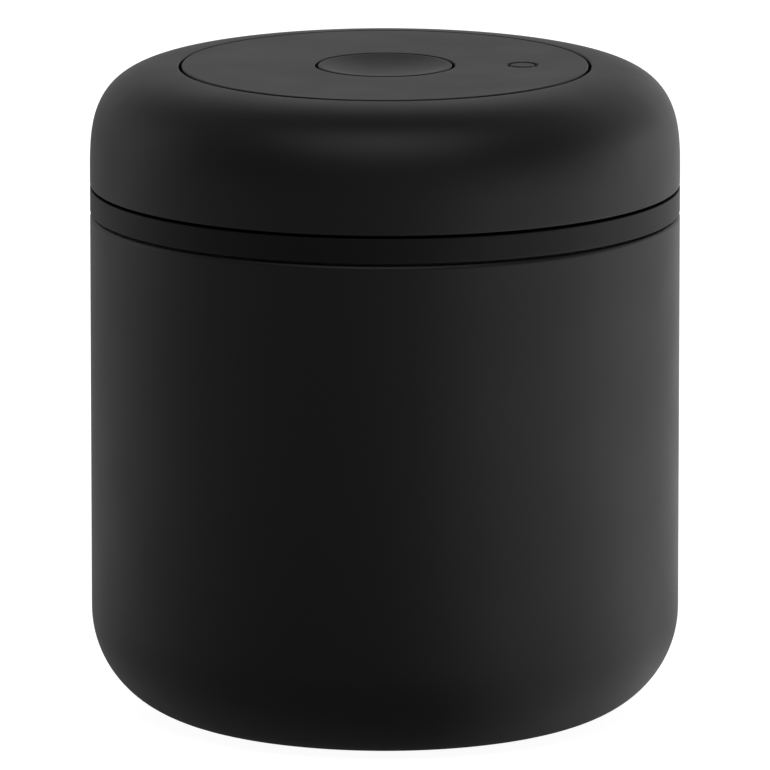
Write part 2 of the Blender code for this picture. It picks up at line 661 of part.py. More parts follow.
def make_deck(plastic):
    """Plate under the top disc: holds the cap down, guides the button, stands on three legs."""
    cup_outer = CUP_RADIUS + CUP_WALL
    cup_under = CUP_TOP_FACE - CUP_FLOOR
    outline = [
        (DISC_RADIUS - SEAT_GAP, DECK_TOP),
        (DISC_RADIUS - SEAT_GAP, DECK_BOTTOM),
        (cup_outer, DECK_BOTTOM),
        (cup_outer, cup_under),
        (STEM_HOLE_RADIUS, cup_under),
        (STEM_HOLE_RADIUS, CUP_TOP_FACE),
        (CUP_RADIUS, CUP_TOP_FACE),
        (CUP_RADIUS, DECK_TOP),
    ]
    deck = lathe("deck_plate", outline, MEDIUM_SEGMENTS, plastic)
    buried = DECK_BOTTOM + DECK_THICKNESS / 2
    above = DECK_TOP + OVERRUN
    for i, azimuth in enumerate(LEG_AZIMUTHS):
        place = around(LEG_CIRCLE, azimuth)
        join(deck, cylinder(f"leg_{i + 1}", LEG_RADIUS, LEG_BOTTOM, buried, place))
        cut(deck, cylinder(f"leg_bore_{i + 1}", LEG_BORE, LEG_FLOOR, above, place))
        hole = DECK_SCREW_SHANK + SCREW_HOLE_GAP
        cut(deck, cylinder(f"leg_hole_{i + 1}", hole, LEG_BOTTOM - OVERRUN, above, place))
    guide = INDICATOR_RADIUS + INDICATOR_GUIDE_GAP
    cut(deck, cylinder("indicator_guide", guide, DECK_BOTTOM - OVERRUN, above, INDICATOR_PLACE))
    half = CLIP_WIDTH / 2 + CLIP_SLOT_GAP
    for i, azimuth in enumerate(ARM_AZIMUTHS):
        low = (CLIP_CIRCLE - CLIP_SLOT_GAP, -half, DECK_BOTTOM - OVERRUN)
        high = (CLIP_CIRCLE + CLIP_THICKNESS + CLIP_SLOT_GAP, half, above)
        cut(deck, block(f"clip_slot_{i + 1}", low, high, azimuth))
    return deck


def clip_hook(name, azimuth):
    """One snap hook of the top disc: an outline in the radial plane, extruded to its width."""
    top = DISC_BOTTOM + DISC_THICKNESS / 2
    catch = DECK_BOTTOM - CLIP_SLOT_GAP
    tip = catch - CLIP_THICKNESS
    outline = [
        (0, top),
        (0, tip),
        (CLIP_THICKNESS / 2, tip),
        (CLIP_THICKNESS + CLIP_BARB, catch),
        (CLIP_THICKNESS, catch),
        (CLIP_THICKNESS, top),
    ]
    bm = bmesh.new()
    corners = [bm.verts.new((CLIP_CIRCLE + x, -CLIP_WIDTH / 2, z)) for x, z in outline]
    face = bm.faces.new(corners)
    side = bmesh.ops.extrude_face_region(bm, geom=[face])["geom"]
    moved = [item for item in side if isinstance(item, bmesh.types.BMVert)]
    bmesh.ops.translate(bm, vec=(0, CLIP_WIDTH, 0), verts=moved)
    bmesh.ops.recalc_face_normals(bm, faces=bm.faces)
    mesh = bpy.data.meshes.new(name)
    bm.to_mesh(mesh)
    bm.free()
    return place_object(name, mesh, turn=azimuth)


def make_top_disc(plastic):
    """The plain disc round the button, with the indicator's hole and three snap hooks."""
    outline = [
        (DISC_RADIUS - EDGE_CHAMFER, TOTAL_HEIGHT),
        (DISC_RADIUS, TOTAL_HEIGHT - EDGE_CHAMFER),
        (DISC_RADIUS, DISC_BOTTOM),
        (BUTTON_HOLE, DISC_BOTTOM),
        (BUTTON_HOLE, TOTAL_HEIGHT - EDGE_CHAMFER / 2),
        (BUTTON_HOLE + EDGE_CHAMFER / 2, TOTAL_HEIGHT),
    ]
    disc = lathe("top_disc", outline, OUTER_SEGMENTS, plastic)
    for i, azimuth in enumerate(ARM_AZIMUTHS):
        join(disc, clip_hook(f"clip_hook_{i + 1}", azimuth))
    hole = INDICATOR_RADIUS + INDICATOR_SEAM
    below = DISC_BOTTOM - OVERRUN
    above = TOTAL_HEIGHT + OVERRUN
    cut(disc, cylinder("indicator_hole", hole, below, above, INDICATOR_PLACE, 2 * SMALL_SEGMENTS))
    return disc


def screw(name, head, head_height, shank, length, material, place, seat, upwards=False):
    """A pan-head screw whose head rests on seat and whose shank points down, or up."""
    outline = [
        (0, head_height),
        (head - EDGE_CHAMFER, head_height),
        (head, head_height - EDGE_CHAMFER),
        (head, 0),
        (shank, 0),
        (shank, shank - length),
        (0, -length),
    ]
    obj = lathe(name, outline, SMALL_SEGMENTS, material, closed=False)
    obj.location = (place[0], place[1], seat)
    if upwards:
        obj.rotation_euler = (math.pi, 0, 0)
    return obj


def make_deck_screws(steel):
    for i, azimuth in enumerate(LEG_AZIMUTHS):
        place = around(LEG_CIRCLE, azimuth)
        screw(
            f"deck_screw_{i + 1}",
            DECK_SCREW_HEAD,
            DECK_SCREW_HEAD_HEIGHT,
            DECK_SCREW_SHANK,
            DECK_SCREW_LENGTH,
            steel,
            place,
            LEG_FLOOR + SEAT_GAP,
        )


# The cap and the sleeve that turn


def make_twist_cap(plastic):
    """Rounded cap ring, open in the middle, with a ledge that the deck holds down."""
    outline = [(THROAT_RADIUS, TOTAL_HEIGHT - EDGE_CHAMFER)]
    outline += shoulder(THROAT_RADIUS + EDGE_CHAMFER, 0, SHOULDER_STEPS)
    outline += [
        (OUTER_RADIUS, CAP_BOTTOM + EDGE_CHAMFER),
        (OUTER_RADIUS - EDGE_CHAMFER, CAP_BOTTOM),
        (CAP_INNER, CAP_BOTTOM),
    ]
    throat_outer = THROAT_RADIUS + CAP_THROAT_WALL
    outline += reversed(shoulder(throat_outer, CAP_WALL, INNER_SHOULDER_STEPS))
    outline += [
        (throat_outer, LEDGE_BOTTOM),
        (LEDGE_INNER, LEDGE_BOTTOM),
        (LEDGE_INNER, LEDGE_TOP),
        (THROAT_RADIUS, LEDGE_TOP),
    ]
    cap = lathe("twist_cap", outline, OUTER_SEGMENTS, plastic)
    boss_bottom = FLANGE_TOP + SEAT_GAP
    boss_top = shoulder_height(CAP_SCREW_CIRCLE, CAP_WALL) + SEAT_GAP * 2
    for i, azimuth in enumerate(CAP_SCREW_AZIMUTHS):
        place = around(CAP_SCREW_CIRCLE, azimuth)
        join(cap, cylinder(f"boss_{i + 1}", CAP_BOSS_RADIUS, boss_bottom, boss_top, place))
        pilot = CAP_SCREW_SHANK + SCREW_HOLE_GAP
        low = boss_bottom - OVERRUN
        high = CAP_SCREW_SEAT + CAP_SCREW_LENGTH + OVERRUN
        cut(cap, cylinder(f"boss_hole_{i + 1}", pilot, low, high, place))
    return cap


def helical_slot(name, azimuth):
    """Cutter for one cam slot: a band with round ends that climbs the sleeve by the stroke.

    In the sleeve's own frame the pin moves backwards as the sleeve turns, and up.
    """
    half_width = PIN_RADIUS + SLOT_CLEARANCE
    inner = SLEEVE_INNER - OVERRUN
    outer = SLEEVE_OUTER + OVERRUN
    mean_radius = (SLEEVE_INNER + SLEEVE_OUTER) / 2
    length = mean_radius * TWIST_ANGLE
    quarters = [math.pi / 2 * i / SLOT_END_STEPS for i in range(1, SLOT_END_STEPS)]
    ends = [half_width * SLOT_END_SHARE] + [half_width * math.cos(angle) for angle in quarters]
    stations = [-reach for reach in ends]
    stations += [length * i / SLOT_STEPS for i in range(SLOT_STEPS + 1)]
    stations += [length + reach for reach in reversed(ends)]
    bm = bmesh.new()
    sections = []
    for along in stations:
        beyond = max(-along, along - length, 0)
        half = math.sqrt(half_width**2 - beyond**2)
        angle = azimuth - along / mean_radius
        height = PIN_LEVEL + PISTON_STROKE * along / length
        corners = [(inner, -half), (outer, -half), (outer, half), (inner, half)]
        sections.append([bm.verts.new(around(r, angle, height + rise)) for r, rise in corners])
    for first, second in zip(sections, sections[1:]):
        for i in range(4):
            j = (i + 1) % 4
            bm.faces.new((first[i], first[j], second[j], second[i]))
    bm.faces.new(sections[0])
    bm.faces.new(sections[-1])
    bmesh.ops.recalc_face_normals(bm, faces=bm.faces)
    mesh = bpy.data.meshes.new(name)
    bm.to_mesh(mesh)
    bm.free()
    return place_object(name, mesh)


def make_cam_sleeve(acetal):
    """Sleeve with a flange that rests on the glide ring and three helical cam slots."""
    outline = [
        (SLEEVE_OUTER, SLEEVE_TOP),
        (SLEEVE_OUTER, FLANGE_TOP),
        (SLEEVE_FLANGE, FLANGE_TOP),
        (SLEEVE_FLANGE, FLANGE_BOTTOM),
        (SLEEVE_OUTER, FLANGE_BOTTOM),
        (SLEEVE_OUTER, SLEEVE_BOTTOM),
        (SLEEVE_INNER, SLEEVE_BOTTOM),
        (SLEEVE_INNER, SLEEVE_TOP),
    ]
    sleeve = lathe("cam_sleeve", outline, INNER_SEGMENTS, acetal)
    for i, azimuth in enumerate(ARM_AZIMUTHS):
        cut(sleeve, helical_slot(f"cam_slot_{i + 1}", azimuth))
    for i, azimuth in enumerate(CAP_SCREW_AZIMUTHS):
        place = around(CAP_SCREW_CIRCLE, azimuth)
        hole = CAP_SCREW_SHANK + SCREW_HOLE_GAP
        below = FLANGE_BOTTOM - OVERRUN
        cut(sleeve, cylinder(f"flange_hole_{i + 1}", hole, below, FLANGE_TOP + OVERRUN, place))
        sink = CAP_SCREW_HEAD + SCREW_HOLE_GAP
        top = CAP_SCREW_SEAT + SEAT_GAP
        cut(sleeve, cylinder(f"counterbore_{i + 1}", sink, below, top, place))
    return sleeve


# The piston


def make_piston(acetal):
    """Annular piston with seal grooves, a hub on the valve tube and three ribbed arms."""
    groove_radius = PISTON_OUTER - PISTON_GROOVE_DEPTH
    inner_groove = HUB_INNER + PISTON_GROOVE_DEPTH
    outline = [
        (HUB_OUTER, ARM_TOP),
        (HUB_OUTER, PISTON_TOP),
        (PISTON_OUTER, PISTON_TOP),
        (PISTON_OUTER, PISTON_GROOVE_TOP),
        (groove_radius, PISTON_GROOVE_TOP),
        (groove_radius, PISTON_GROOVE_BOTTOM),
        (PISTON_OUTER, PISTON_GROOVE_BOTTOM),
        (PISTON_OUTER, PISTON_BOTTOM),
        (HUB_INNER, PISTON_BOTTOM),
        (HUB_INNER, PISTON_GROOVE_BOTTOM),
        (inner_groove, PISTON_GROOVE_BOTTOM),
        (inner_groove, PISTON_GROOVE_TOP),
        (HUB_INNER, PISTON_GROOVE_TOP),
        (HUB_INNER, ARM_TOP),
    ]
    piston = lathe("pump_piston", outline, MEDIUM_SEGMENTS, acetal)
    root = HUB_OUTER - HUB_WALL / 2
    for i, azimuth in enumerate(ARM_AZIMUTHS):
        low = (root, -ARM_WIDTH / 2, ARM_BOTTOM)
        high = (ARM_REACH, ARM_WIDTH / 2, ARM_TOP)
        join(piston, block(f"arm_{i + 1}", low, high, azimuth))
        inside = ARM_WIDTH / 2 - ARM_RIB_THICKNESS
        low = (HUB_OUTER + ARM_RIB_THICKNESS, -inside, ARM_TOP - ARM_RIB_HEIGHT)
        high = (ARM_REACH - ARM_SOCKET_LENGTH, inside, ARM_TOP + OVERRUN)
        cut(piston, block(f"arm_trough_{i + 1}", low, high, azimuth))
        socket = PIN_SHANK_RADIUS + SCREW_HOLE_GAP
        start = ARM_REACH - PIN_SHANK_LENGTH - SEAT_GAP
        cut(piston, radial_rod(f"pin_socket_{i + 1}", socket, start, ARM_REACH + OVERRUN, azimuth))
    place = around(VALVE_CIRCLE, EXHAUST_AZIMUTH)
    low = PISTON_BOTTOM - OVERRUN
    cut(piston, *port_cutters("exhaust", place, low, PISTON_TOP + OVERRUN))
    pocket = VALVE_BULB_RADIUS + VALVE_POCKET_GAP / 2
    cut(piston, cylinder("bulb_pocket", pocket, low, PISTON_BOTTOM + BULB_POCKET_DEPTH, place))
    return piston


def radial_rod(name, radius, start, end, azimuth, material=None):
    """A cylinder that lies along a radius at the pins' level."""
    rod = cylinder(name, radius, start, end, (0, 0), SMALL_SEGMENTS, material)
    lie_down = Matrix.Translation((0, 0, PIN_LEVEL)) @ Matrix.Rotation(azimuth, 4, "Z")
    lie_down = lie_down @ Matrix.Rotation(math.pi / 2, 4, "Y")
    rod.matrix_world = lie_down @ Matrix.Translation((0, 0, (start + end) / 2))
    return rod


def make_follower_pins(steel):
    """Stepped pins: a shank in the piston's arm, a head in the cam slot and the guide groove."""
    for i, azimuth in enumerate(ARM_AZIMUTHS):
        head_start = ARM_REACH + SEAT_GAP
        shank_start = ARM_REACH - PIN_SHANK_LENGTH
        outline = [
            (0, PIN_TIP),
            (PIN_RADIUS, PIN_TIP),
            (PIN_RADIUS, head_start),
            (PIN_SHANK_RADIUS, head_start),
            (PIN_SHANK_RADIUS, shank_start),
            (0, shank_start),
        ]
        pin = lathe(f"follower_pin_{i + 1}", outline, SMALL_SEGMENTS, steel, closed=False)
        lie_down = Matrix.Translation((0, 0, PIN_LEVEL)) @ Matrix.Rotation(azimuth, 4, "Z")
        pin.matrix_world = lie_down @ Matrix.Rotation(math.pi / 2, 4, "Y")


def make_piston_seals(rubber):
    inside = PISTON_GROOVE_BOTTOM + SEAT_GAP / 2
    top = PISTON_GROOVE_TOP - SEAT_GAP / 2
    groove_radius = PISTON_OUTER - PISTON_GROOVE_DEPTH
    outer = CYLINDER_RADIUS - SEAL_RUNNING_GAP
    ring("piston_seal", groove_radius + SEAT_GAP, outer, inside, top, MEDIUM_SEGMENTS, rubber)
    tube_side = TUBE_RADIUS + SEAL_RUNNING_GAP
    groove = HUB_INNER + PISTON_GROOVE_DEPTH
    ring("tube_seal", tube_side, groove - SEAT_GAP, inside, top, 2 * SMALL_SEGMENTS, rubber)


def umbrella_valve(name, rubber, place, seat, stem_length):
    """A rubber umbrella on seat, whose stem ends in a bulb below the ports."""
    bulb_top = -stem_length
    outline = [
        (0, VALVE_THICKNESS),
        (VALVE_RADIUS * VALVE_CROWN_SHARE, VALVE_THICKNESS),
        (VALVE_RADIUS, VALVE_THICKNESS / 2),
        (VALVE_RADIUS, 0),
        (VALVE_STEM_RADIUS, 0),
        (VALVE_STEM_RADIUS, bulb_top),
        (VALVE_BULB_RADIUS, bulb_top),
        (VALVE_STEM_RADIUS, bulb_top - VALVE_BULB_HEIGHT),
        (0, bulb_top - VALVE_BULB_HEIGHT),
    ]
    return lathe(name, outline, SMALL_SEGMENTS, rubber, closed=False, location=(place[0], place[1], seat))


def make_valves(rubber):
    seat = PUMP_FLOOR_TOP - VALVE_POCKET_DEPTH + SCREW_HOLE_GAP
    stem = VALVE_SEAT_THICKNESS + 2 * SCREW_HOLE_GAP
    umbrella_valve("intake_valve", rubber, around(VALVE_CIRCLE, INTAKE_AZIMUTH), seat, stem)
    seat = PISTON_TOP + SCREW_HOLE_GAP
    stem = PISTON_TOP - PISTON_BOTTOM - BULB_POCKET_DEPTH + 2 * SCREW_HOLE_GAP
    umbrella_valve("exhaust_valve", rubber, around(VALVE_CIRCLE, EXHAUST_AZIMUTH), seat, stem)


# The button and the release valve


def make_button(plastic):
    """Dished button with a flange that the top disc holds in, and a boss for the stem."""
    dish_radius = BUTTON_RADIUS - BUTTON_RIM_WIDTH
    sphere = (dish_radius**2 + BUTTON_DISH_DEPTH**2) / (2 * BUTTON_DISH_DEPTH)
    dish = []
    for i in range(DISH_STEPS + 1):
        radius = dish_radius * i / DISH_STEPS
        dish.append((radius, sphere - math.sqrt(sphere**2 - radius**2)))
    outline = [(radius, DISH_FLOOR + rise) for radius, rise in dish]
    outline += [
        (BUTTON_RADIUS, TOTAL_HEIGHT - BUTTON_RIM_WIDTH),
        (BUTTON_RADIUS, BUTTON_FLANGE_TOP),
        (BUTTON_FLANGE, BUTTON_FLANGE_TOP),
        (BUTTON_FLANGE, BUTTON_FLANGE_BOTTOM),
        (BUTTON_RADIUS - BUTTON_FLANGE_WIDTH, BUTTON_FLANGE_BOTTOM),
    ]
    outline += [(radius, BUTTON_UNDER + rise) for radius, rise in reversed(dish[2:-1])]
    socket = STEM_RADIUS + STEM_SOCKET_GAP
    socket_top = BUTTON_BOSS_BOTTOM + STEM_SOCKET_DEPTH
    outline += [
        (BUTTON_BOSS_RADIUS, BUTTON_UNDER),
        (BUTTON_BOSS_RADIUS, BUTTON_BOSS_BOTTOM),
        (socket, BUTTON_BOSS_BOTTOM),
        (socket, socket_top),
        (0, socket_top),
    ]
    return lathe("release_button", outline, MEDIUM_SEGMENTS, plastic, closed=False)


def make_stem(steel):
    """Rod from the button's boss down the valve tube to the poppet below the pump floor."""
    top = BUTTON_BOSS_BOTTOM + STEM_SOCKET_DEPTH - SEAT_GAP
    outline = [
        (0, top),
        (STEM_RADIUS, top),
        (STEM_RADIUS, POPPET_TOP),
        (POPPET_RADIUS, POPPET_TOP),
        (POPPET_RADIUS, POPPET_BOTTOM),
        (0, POPPET_BOTTOM),
    ]
    return lathe("valve_stem", outline, SMALL_SEGMENTS, steel, closed=False)


def make_release_parts(plastic, rubber, steel):
    make_button(plastic)
    make_stem(steel)
    inner = STEM_RADIUS + SCREW_HOLE_GAP
    ring("valve_washer", inner, WASHER_RADIUS, POPPET_TOP + SEAT_GAP, WASHER_TOP, SMALL_SEGMENTS, rubber)
    # The spring stands on the cup's floor and ends against the button's underside.
    bottom = CUP_TOP_FACE + SEAT_GAP
    top = BUTTON_UNDER - SEAT_GAP
    coil("button_spring", BUTTON_SPRING_RADIUS, BUTTON_SPRING_WIRE, bottom, top, BUTTON_SPRING_TURNS, steel)


# The vacuum indicator


def make_indicator(plastic, rubber, steel):
    """Pin held up against the deck by a spring, with a sealed head that vacuum draws down."""
    head = INDICATOR_BORE - INDICATOR_HEAD_GAP
    groove = head - INDICATOR_GROOVE_DEPTH
    collar = INDICATOR_RADIUS + INDICATOR_COLLAR_WIDTH
    collar_top = DECK_BOTTOM - SEAT_GAP
    collar_bottom = collar_top - INDICATOR_COLLAR_THICKNESS
    outline = [
        (0, TOTAL_HEIGHT),
        (INDICATOR_RADIUS - EDGE_CHAMFER, TOTAL_HEIGHT),
        (INDICATOR_RADIUS, TOTAL_HEIGHT - EDGE_CHAMFER),
        (INDICATOR_RADIUS, collar_top),
        (collar, collar_top),
        (collar, collar_bottom),
        (INDICATOR_ROD_RADIUS, collar_bottom),
        (INDICATOR_ROD_RADIUS, INDICATOR_HEAD_TOP),
        (head, INDICATOR_HEAD_TOP),
        (head, INDICATOR_GROOVE_TOP),
        (groove, INDICATOR_GROOVE_TOP),
        (groove, INDICATOR_GROOVE_BOTTOM),
        (head, INDICATOR_GROOVE_BOTTOM),
        (head, INDICATOR_HEAD_BOTTOM),
        (0, INDICATOR_HEAD_BOTTOM),
    ]
    lathe("indicator_pin", outline, SMALL_SEGMENTS, plastic, closed=False, location=INDICATOR_PLACE)
    outer = INDICATOR_BORE - INDICATOR_HEAD_GAP / 2
    inner = groove + SEAT_GAP / 2
    bottom = INDICATOR_GROOVE_BOTTOM + SEAT_GAP / 2
    top = INDICATOR_GROOVE_TOP - SEAT_GAP / 2
    ring("indicator_seal", inner, outer, bottom, top, SMALL_SEGMENTS, rubber, INDICATOR_PLACE)
    coil(
        "indicator_spring",
        INDICATOR_SPRING_RADIUS,
        INDICATOR_SPRING_WIRE,
        INDICATOR_LEDGE + SEAT_GAP,
        INDICATOR_HEAD_BOTTOM - SEAT_GAP,
        INDICATOR_SPRING_TURNS,
        steel,
        INDICATOR_PLACE,
    )


# The filter under the pump


def make_filter(plastic, felt):
    """Slotted cover in the plug's recess, and the pad that lies on it."""
    outer = RECESS_RADIUS - FILTER_COVER_GAP
    ring_inner = outer - FILTER_RING_WALL
    ring_top = PUMP_FLOOR_UNDER - FILTER_RING_GAP
    outline = [
        (outer, ring_top),
        (outer, PLUG_BOTTOM + EDGE_CHAMFER),
        (outer - EDGE_CHAMFER, PLUG_BOTTOM),
        (0, PLUG_BOTTOM),
        (0, FILTER_COVER_TOP),
        (ring_inner, FILTER_COVER_TOP),
        (ring_inner, ring_top),
    ]
    profile = outline[4:] + outline[:4]
    cover = lathe("filter_cover", profile, MEDIUM_SEGMENTS, plastic, closed=False)
    slots = bmesh.new()
    middle = (FILTER_SLOT_INNER + FILTER_SLOT_OUTER) / 2
    size = (FILTER_SLOT_OUTER - FILTER_SLOT_INNER, FILTER_SLOT_WIDTH, FILTER_COVER_THICKNESS + 2 * OVERRUN)
    height = (PLUG_BOTTOM + FILTER_COVER_TOP) / 2
    for i in range(FILTER_SLOTS):
        turned = Matrix.Rotation(2 * math.pi * (i + 0.5) / FILTER_SLOTS, 4, "Z")
        place = turned @ Matrix.Translation((middle, 0, height)) @ Matrix.Diagonal((*size, 1))
        bmesh.ops.create_cube(slots, size=1.0, matrix=place)
    mesh = bpy.data.meshes.new("filter_slots")
    slots.to_mesh(mesh)
    slots.free()
    cut(cover, place_object("filter_slots", mesh))
    bottom = FILTER_COVER_TOP + SEAT_GAP
    top = bottom + PAD_THICKNESS
    ring("filter_pad", PAD_INNER, ring_inner - SEAT_GAP, bottom, top, MEDIUM_SEGMENTS, felt)


def make_cap_screws(steel):
    """Screws driven up through the sleeve's flange into the cap's bosses."""
    for i, azimuth in enumerate(CAP_SCREW_AZIMUTHS):
        place = around(CAP_SCREW_CIRCLE, azimuth)
        screw(
            f"cap_screw_{i + 1}",
            CAP_SCREW_HEAD,
            CAP_SCREW_HEAD_HEIGHT,
            CAP_SCREW_SHANK,
            CAP_SCREW_LENGTH,
            steel,
            place,
            CAP_SCREW_SEAT,
            upwards=True,
        )


clear_scene()
parts = new_collection("vacuum_canister")
cutters = new_collection("cutters")
cutters.hide_render = True

coated_steel = new_material("coated_steel", (0.021, 0.021, 0.022), 0.55)
soft_plastic = new_material("soft_plastic", (0.023, 0.023, 0.024), 0.60)
collar_plastic = new_material("collar_plastic", (0.014, 0.014, 0.015), 0.50)
inner_plastic = new_material("inner_plastic", (0.035, 0.035, 0.037), 0.55)
white_acetal = new_material("white_acetal", (0.70, 0.70, 0.68), 0.40)
seal_rubber = new_material("seal_rubber", (0.16, 0.165, 0.17), 0.65)
bright_steel = new_material("bright_steel", (0.60, 0.60, 0.60), 0.30, 1.0)
filter_felt = new_material("filter_felt", (0.55, 0.54, 0.50), 0.95)

make_can(coated_steel)
make_lid_base(collar_plastic)
make_gasket(seal_rubber)
make_glide_ring(white_acetal)
make_deck(inner_plastic)
make_deck_screws(bright_steel)
make_cap_screws(bright_steel)
make_top_disc(soft_plastic)
make_twist_cap(soft_plastic)
make_cam_sleeve(white_acetal)
make_piston(white_acetal)
make_follower_pins(bright_steel)
make_piston_seals(seal_rubber)
make_valves(seal_rubber)
make_release_parts(soft_plastic, seal_rubber, bright_steel)
make_indicator(soft_plastic, seal_rubber, bright_steel)
make_filter(inner_plastic, filter_felt)
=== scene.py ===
"""Dressed model of a round vacuum canister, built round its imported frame.

Every outline here is drawn in metres and spun round its axis: corner by corner, as radius, height
and a rounding, or wall by wall. Outside sizes come from the frame's boxes, and walls and roundings
are named below. The file is laid out as an add-on, so each group of pieces has its own operator.
"""

import json
import math

import bmesh
import bpy
from mathutils import Matrix, Vector


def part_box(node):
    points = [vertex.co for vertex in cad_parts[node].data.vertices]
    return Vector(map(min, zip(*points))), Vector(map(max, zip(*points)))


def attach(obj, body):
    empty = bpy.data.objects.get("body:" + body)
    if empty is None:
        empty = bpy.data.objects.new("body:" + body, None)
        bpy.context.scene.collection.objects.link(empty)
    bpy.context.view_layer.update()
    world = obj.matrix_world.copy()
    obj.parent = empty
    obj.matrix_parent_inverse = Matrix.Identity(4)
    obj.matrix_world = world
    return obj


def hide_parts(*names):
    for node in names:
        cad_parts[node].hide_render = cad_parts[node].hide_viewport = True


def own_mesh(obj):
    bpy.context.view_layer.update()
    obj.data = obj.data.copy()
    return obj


bl_info = {
    "name": "Vacuum Canister",
    "version": (1, 0, 0),
    "blender": (4, 5, 0),
    "location": "3D Viewport > Sidebar > Canister",
    "description": "Builds a matte black vacuum canister, the pump in its lid and a plain studio",
    "category": "Object",
}

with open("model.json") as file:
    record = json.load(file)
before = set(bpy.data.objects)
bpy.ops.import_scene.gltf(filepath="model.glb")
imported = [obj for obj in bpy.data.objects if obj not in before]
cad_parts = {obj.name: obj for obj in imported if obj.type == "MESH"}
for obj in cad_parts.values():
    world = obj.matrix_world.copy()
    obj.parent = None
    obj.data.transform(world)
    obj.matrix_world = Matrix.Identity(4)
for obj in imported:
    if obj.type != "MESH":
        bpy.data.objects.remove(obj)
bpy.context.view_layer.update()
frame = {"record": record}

# Mesh quality
OUTER_STEPS = 256
INNER_STEPS = 128
SMALL_STEPS = 48
HOLE_STEPS = 32
WIRE_STEPS = 16
MERGE_DISTANCE = 0.000001
SHARP_ANGLE = math.radians(32)
FLAT_ANGLE = math.radians(0.05)
ROUNDING_ARC = 0.0009
EDGE_SEGMENTS = 3
FEWEST_SEGMENTS = 4
MOST_SEGMENTS = 28
SUPPORT = 0.0003
UPRIGHT = (0.0, 0.0, 1.0)

# Roundings of edges, from crisp to soft, the share of a thickness that rounds it fully, and how
# far a cutter runs past a face
FINE_EDGE = 0.00012
CAP_EDGE = 0.00025
EDGE = 0.0003
FIRM_EDGE = 0.0004
SOFT_EDGE = 0.0005
BROAD_EDGE = 0.0008
FULL_ROUND = 0.49
OVERRUN = 0.0010

# Gaps between pieces
SEAT_GAP = 0.0003
RUNNING_GAP = 0.0005
HOLE_GAP = 0.0002

# The can
RING_WIDTH = 0.0047
RIM_SHARES = (0.75, 0.2)
PANEL_SLOPE = 0.0020

# The lid base
COLLAR_HEIGHT = 0.0050
COLLAR_RIB_WALL = 0.0013
COLLAR_RIB_HEIGHT = 0.0025
RIB_OUTER = 0.0562
PLUG_RADIUS = 0.0542
PLUG_FLANGE_WIDTH = 0.0030
PLUG_FLANGE_HEIGHT = 0.0018
PLUG_TAPER = 0.0016
PLUG_CORNER = 0.0014
SKIRT_WALL = 0.0020
TUB_RADIUS = 0.0502
GASKET_GROOVE = 0.0123
TUB_FLOOR = 0.0020

# The rubber ring round the plug
GASKET_BAND = 0.0014
GASKET_LIP = 0.0017
LIP_TIP = 0.0006
LIP_SHARES = (0.25, 0.75)

# The pump's cylinder, its tube and the recess below
CYLINDER_RADIUS = 0.0215
CYLINDER_WALL = 0.0017
CYLINDER_TOP = 0.0951
PUMP_FLOOR_TOP = 0.0857
PUMP_FLOOR_UNDER = 0.0837
RECESS_RADIUS = 0.0236
RECESS_WALL = 0.0020
TUBE_RADIUS = 0.0055
TUBE_BORE = 0.0030
TUBE_TOP = 0.1076

# The filter under the pump
COVER_THICKNESS = 0.0014
COVER_RING_WALL = 0.0015
FILTER_SLOT = (0.0085, 0.0185, 0.0007)
SLOT_END_STEPS = 12
PAD_INNER = 0.0070

# The umbrella valves
VALVE_CIRCLE = 0.0135
INTAKE_AZIMUTH = math.radians(150)
EXHAUST_AZIMUTH = math.radians(30)
VALVE_RADIUS = 0.0040
VALVE_THICKNESS = 0.0009
VALVE_CROWN = 0.0024
VALVE_STEM = 0.0009
VALVE_BULB = 0.0014
BULB_HEIGHT = 0.0010
POCKET_RADIUS = 0.0048
POCKET_DEPTH = 0.0016
SEAT_RADIUS = 0.0056
SEAT_THICKNESS = 0.0019
BULB_POCKET = 0.0018
PORT_CIRCLE = 0.0029
PORT_RADIUS = 0.0006
PORTS = 4

# The piston, its arms and the pins that they carry
ARM_AZIMUTHS = (math.radians(90), math.radians(210), math.radians(330))
PIN_LEVEL = 0.0981
ARM_TOP = 0.1006
ARM_BOTTOM = 0.0956
ARM_WIDTH = 0.0070
ARM_REACH = 0.0463
ARM_RIB = 0.0016
TROUGH_DEPTH = 0.0036
SOCKET_LENGTH = 0.0110
HUB_INNER = 0.0059
HUB_OUTER = 0.0085
PISTON_RADIUS = 0.0211
PISTON_TOP = 0.0897
PISTON_BOTTOM = 0.0862
PISTON_GROOVE = (0.0870, 0.0888)
GROOVE_DEPTH = 0.0016
SHANK_RADIUS = 0.0012
SHANK_LENGTH = 0.0070
FOLLOWER_RADIUS = 0.0020
FOLLOWER_TIP = 0.0520
GUIDE_RADIUS = 0.0524
SLOT_HALF = 0.0023
SEAL_GAP = 0.0002

# The sleeve and its slip ring
SLEEVE_OUTER = 0.0497
SLEEVE_INNER = 0.0469
SLEEVE_FLANGE = 0.0542
FLANGE_BOTTOM = 0.1080
FLANGE_TOP = 0.1114
TWIST = math.radians(70)
STROKE = 0.0060
CAM_STEPS = 40
CAM_END_STEPS = 8
CAM_END_SHARE = 0.995
SLIP_ROUNDING = 0.3

# The cap
CAP_WALL = 0.0021
CAP_SIDE = 0.0022
SHOULDER_FLAT = 0.0037
SHOULDER_STEPS = 56
THROAT_WALL = 0.0018
THROAT_LIP = 0.0010
LEDGE_THICKNESS = 0.0018
LEDGE_WIDTH = 0.0040
LEDGE_TOP = 0.1269
CAP_SCREW_AZIMUTHS = tuple(math.radians(45 + 90 * i) for i in range(4))
CAP_SCREW_CIRCLE = 0.05195
BOSS_RADIUS = 0.0021
BOSS_BOTTOM = 0.1117

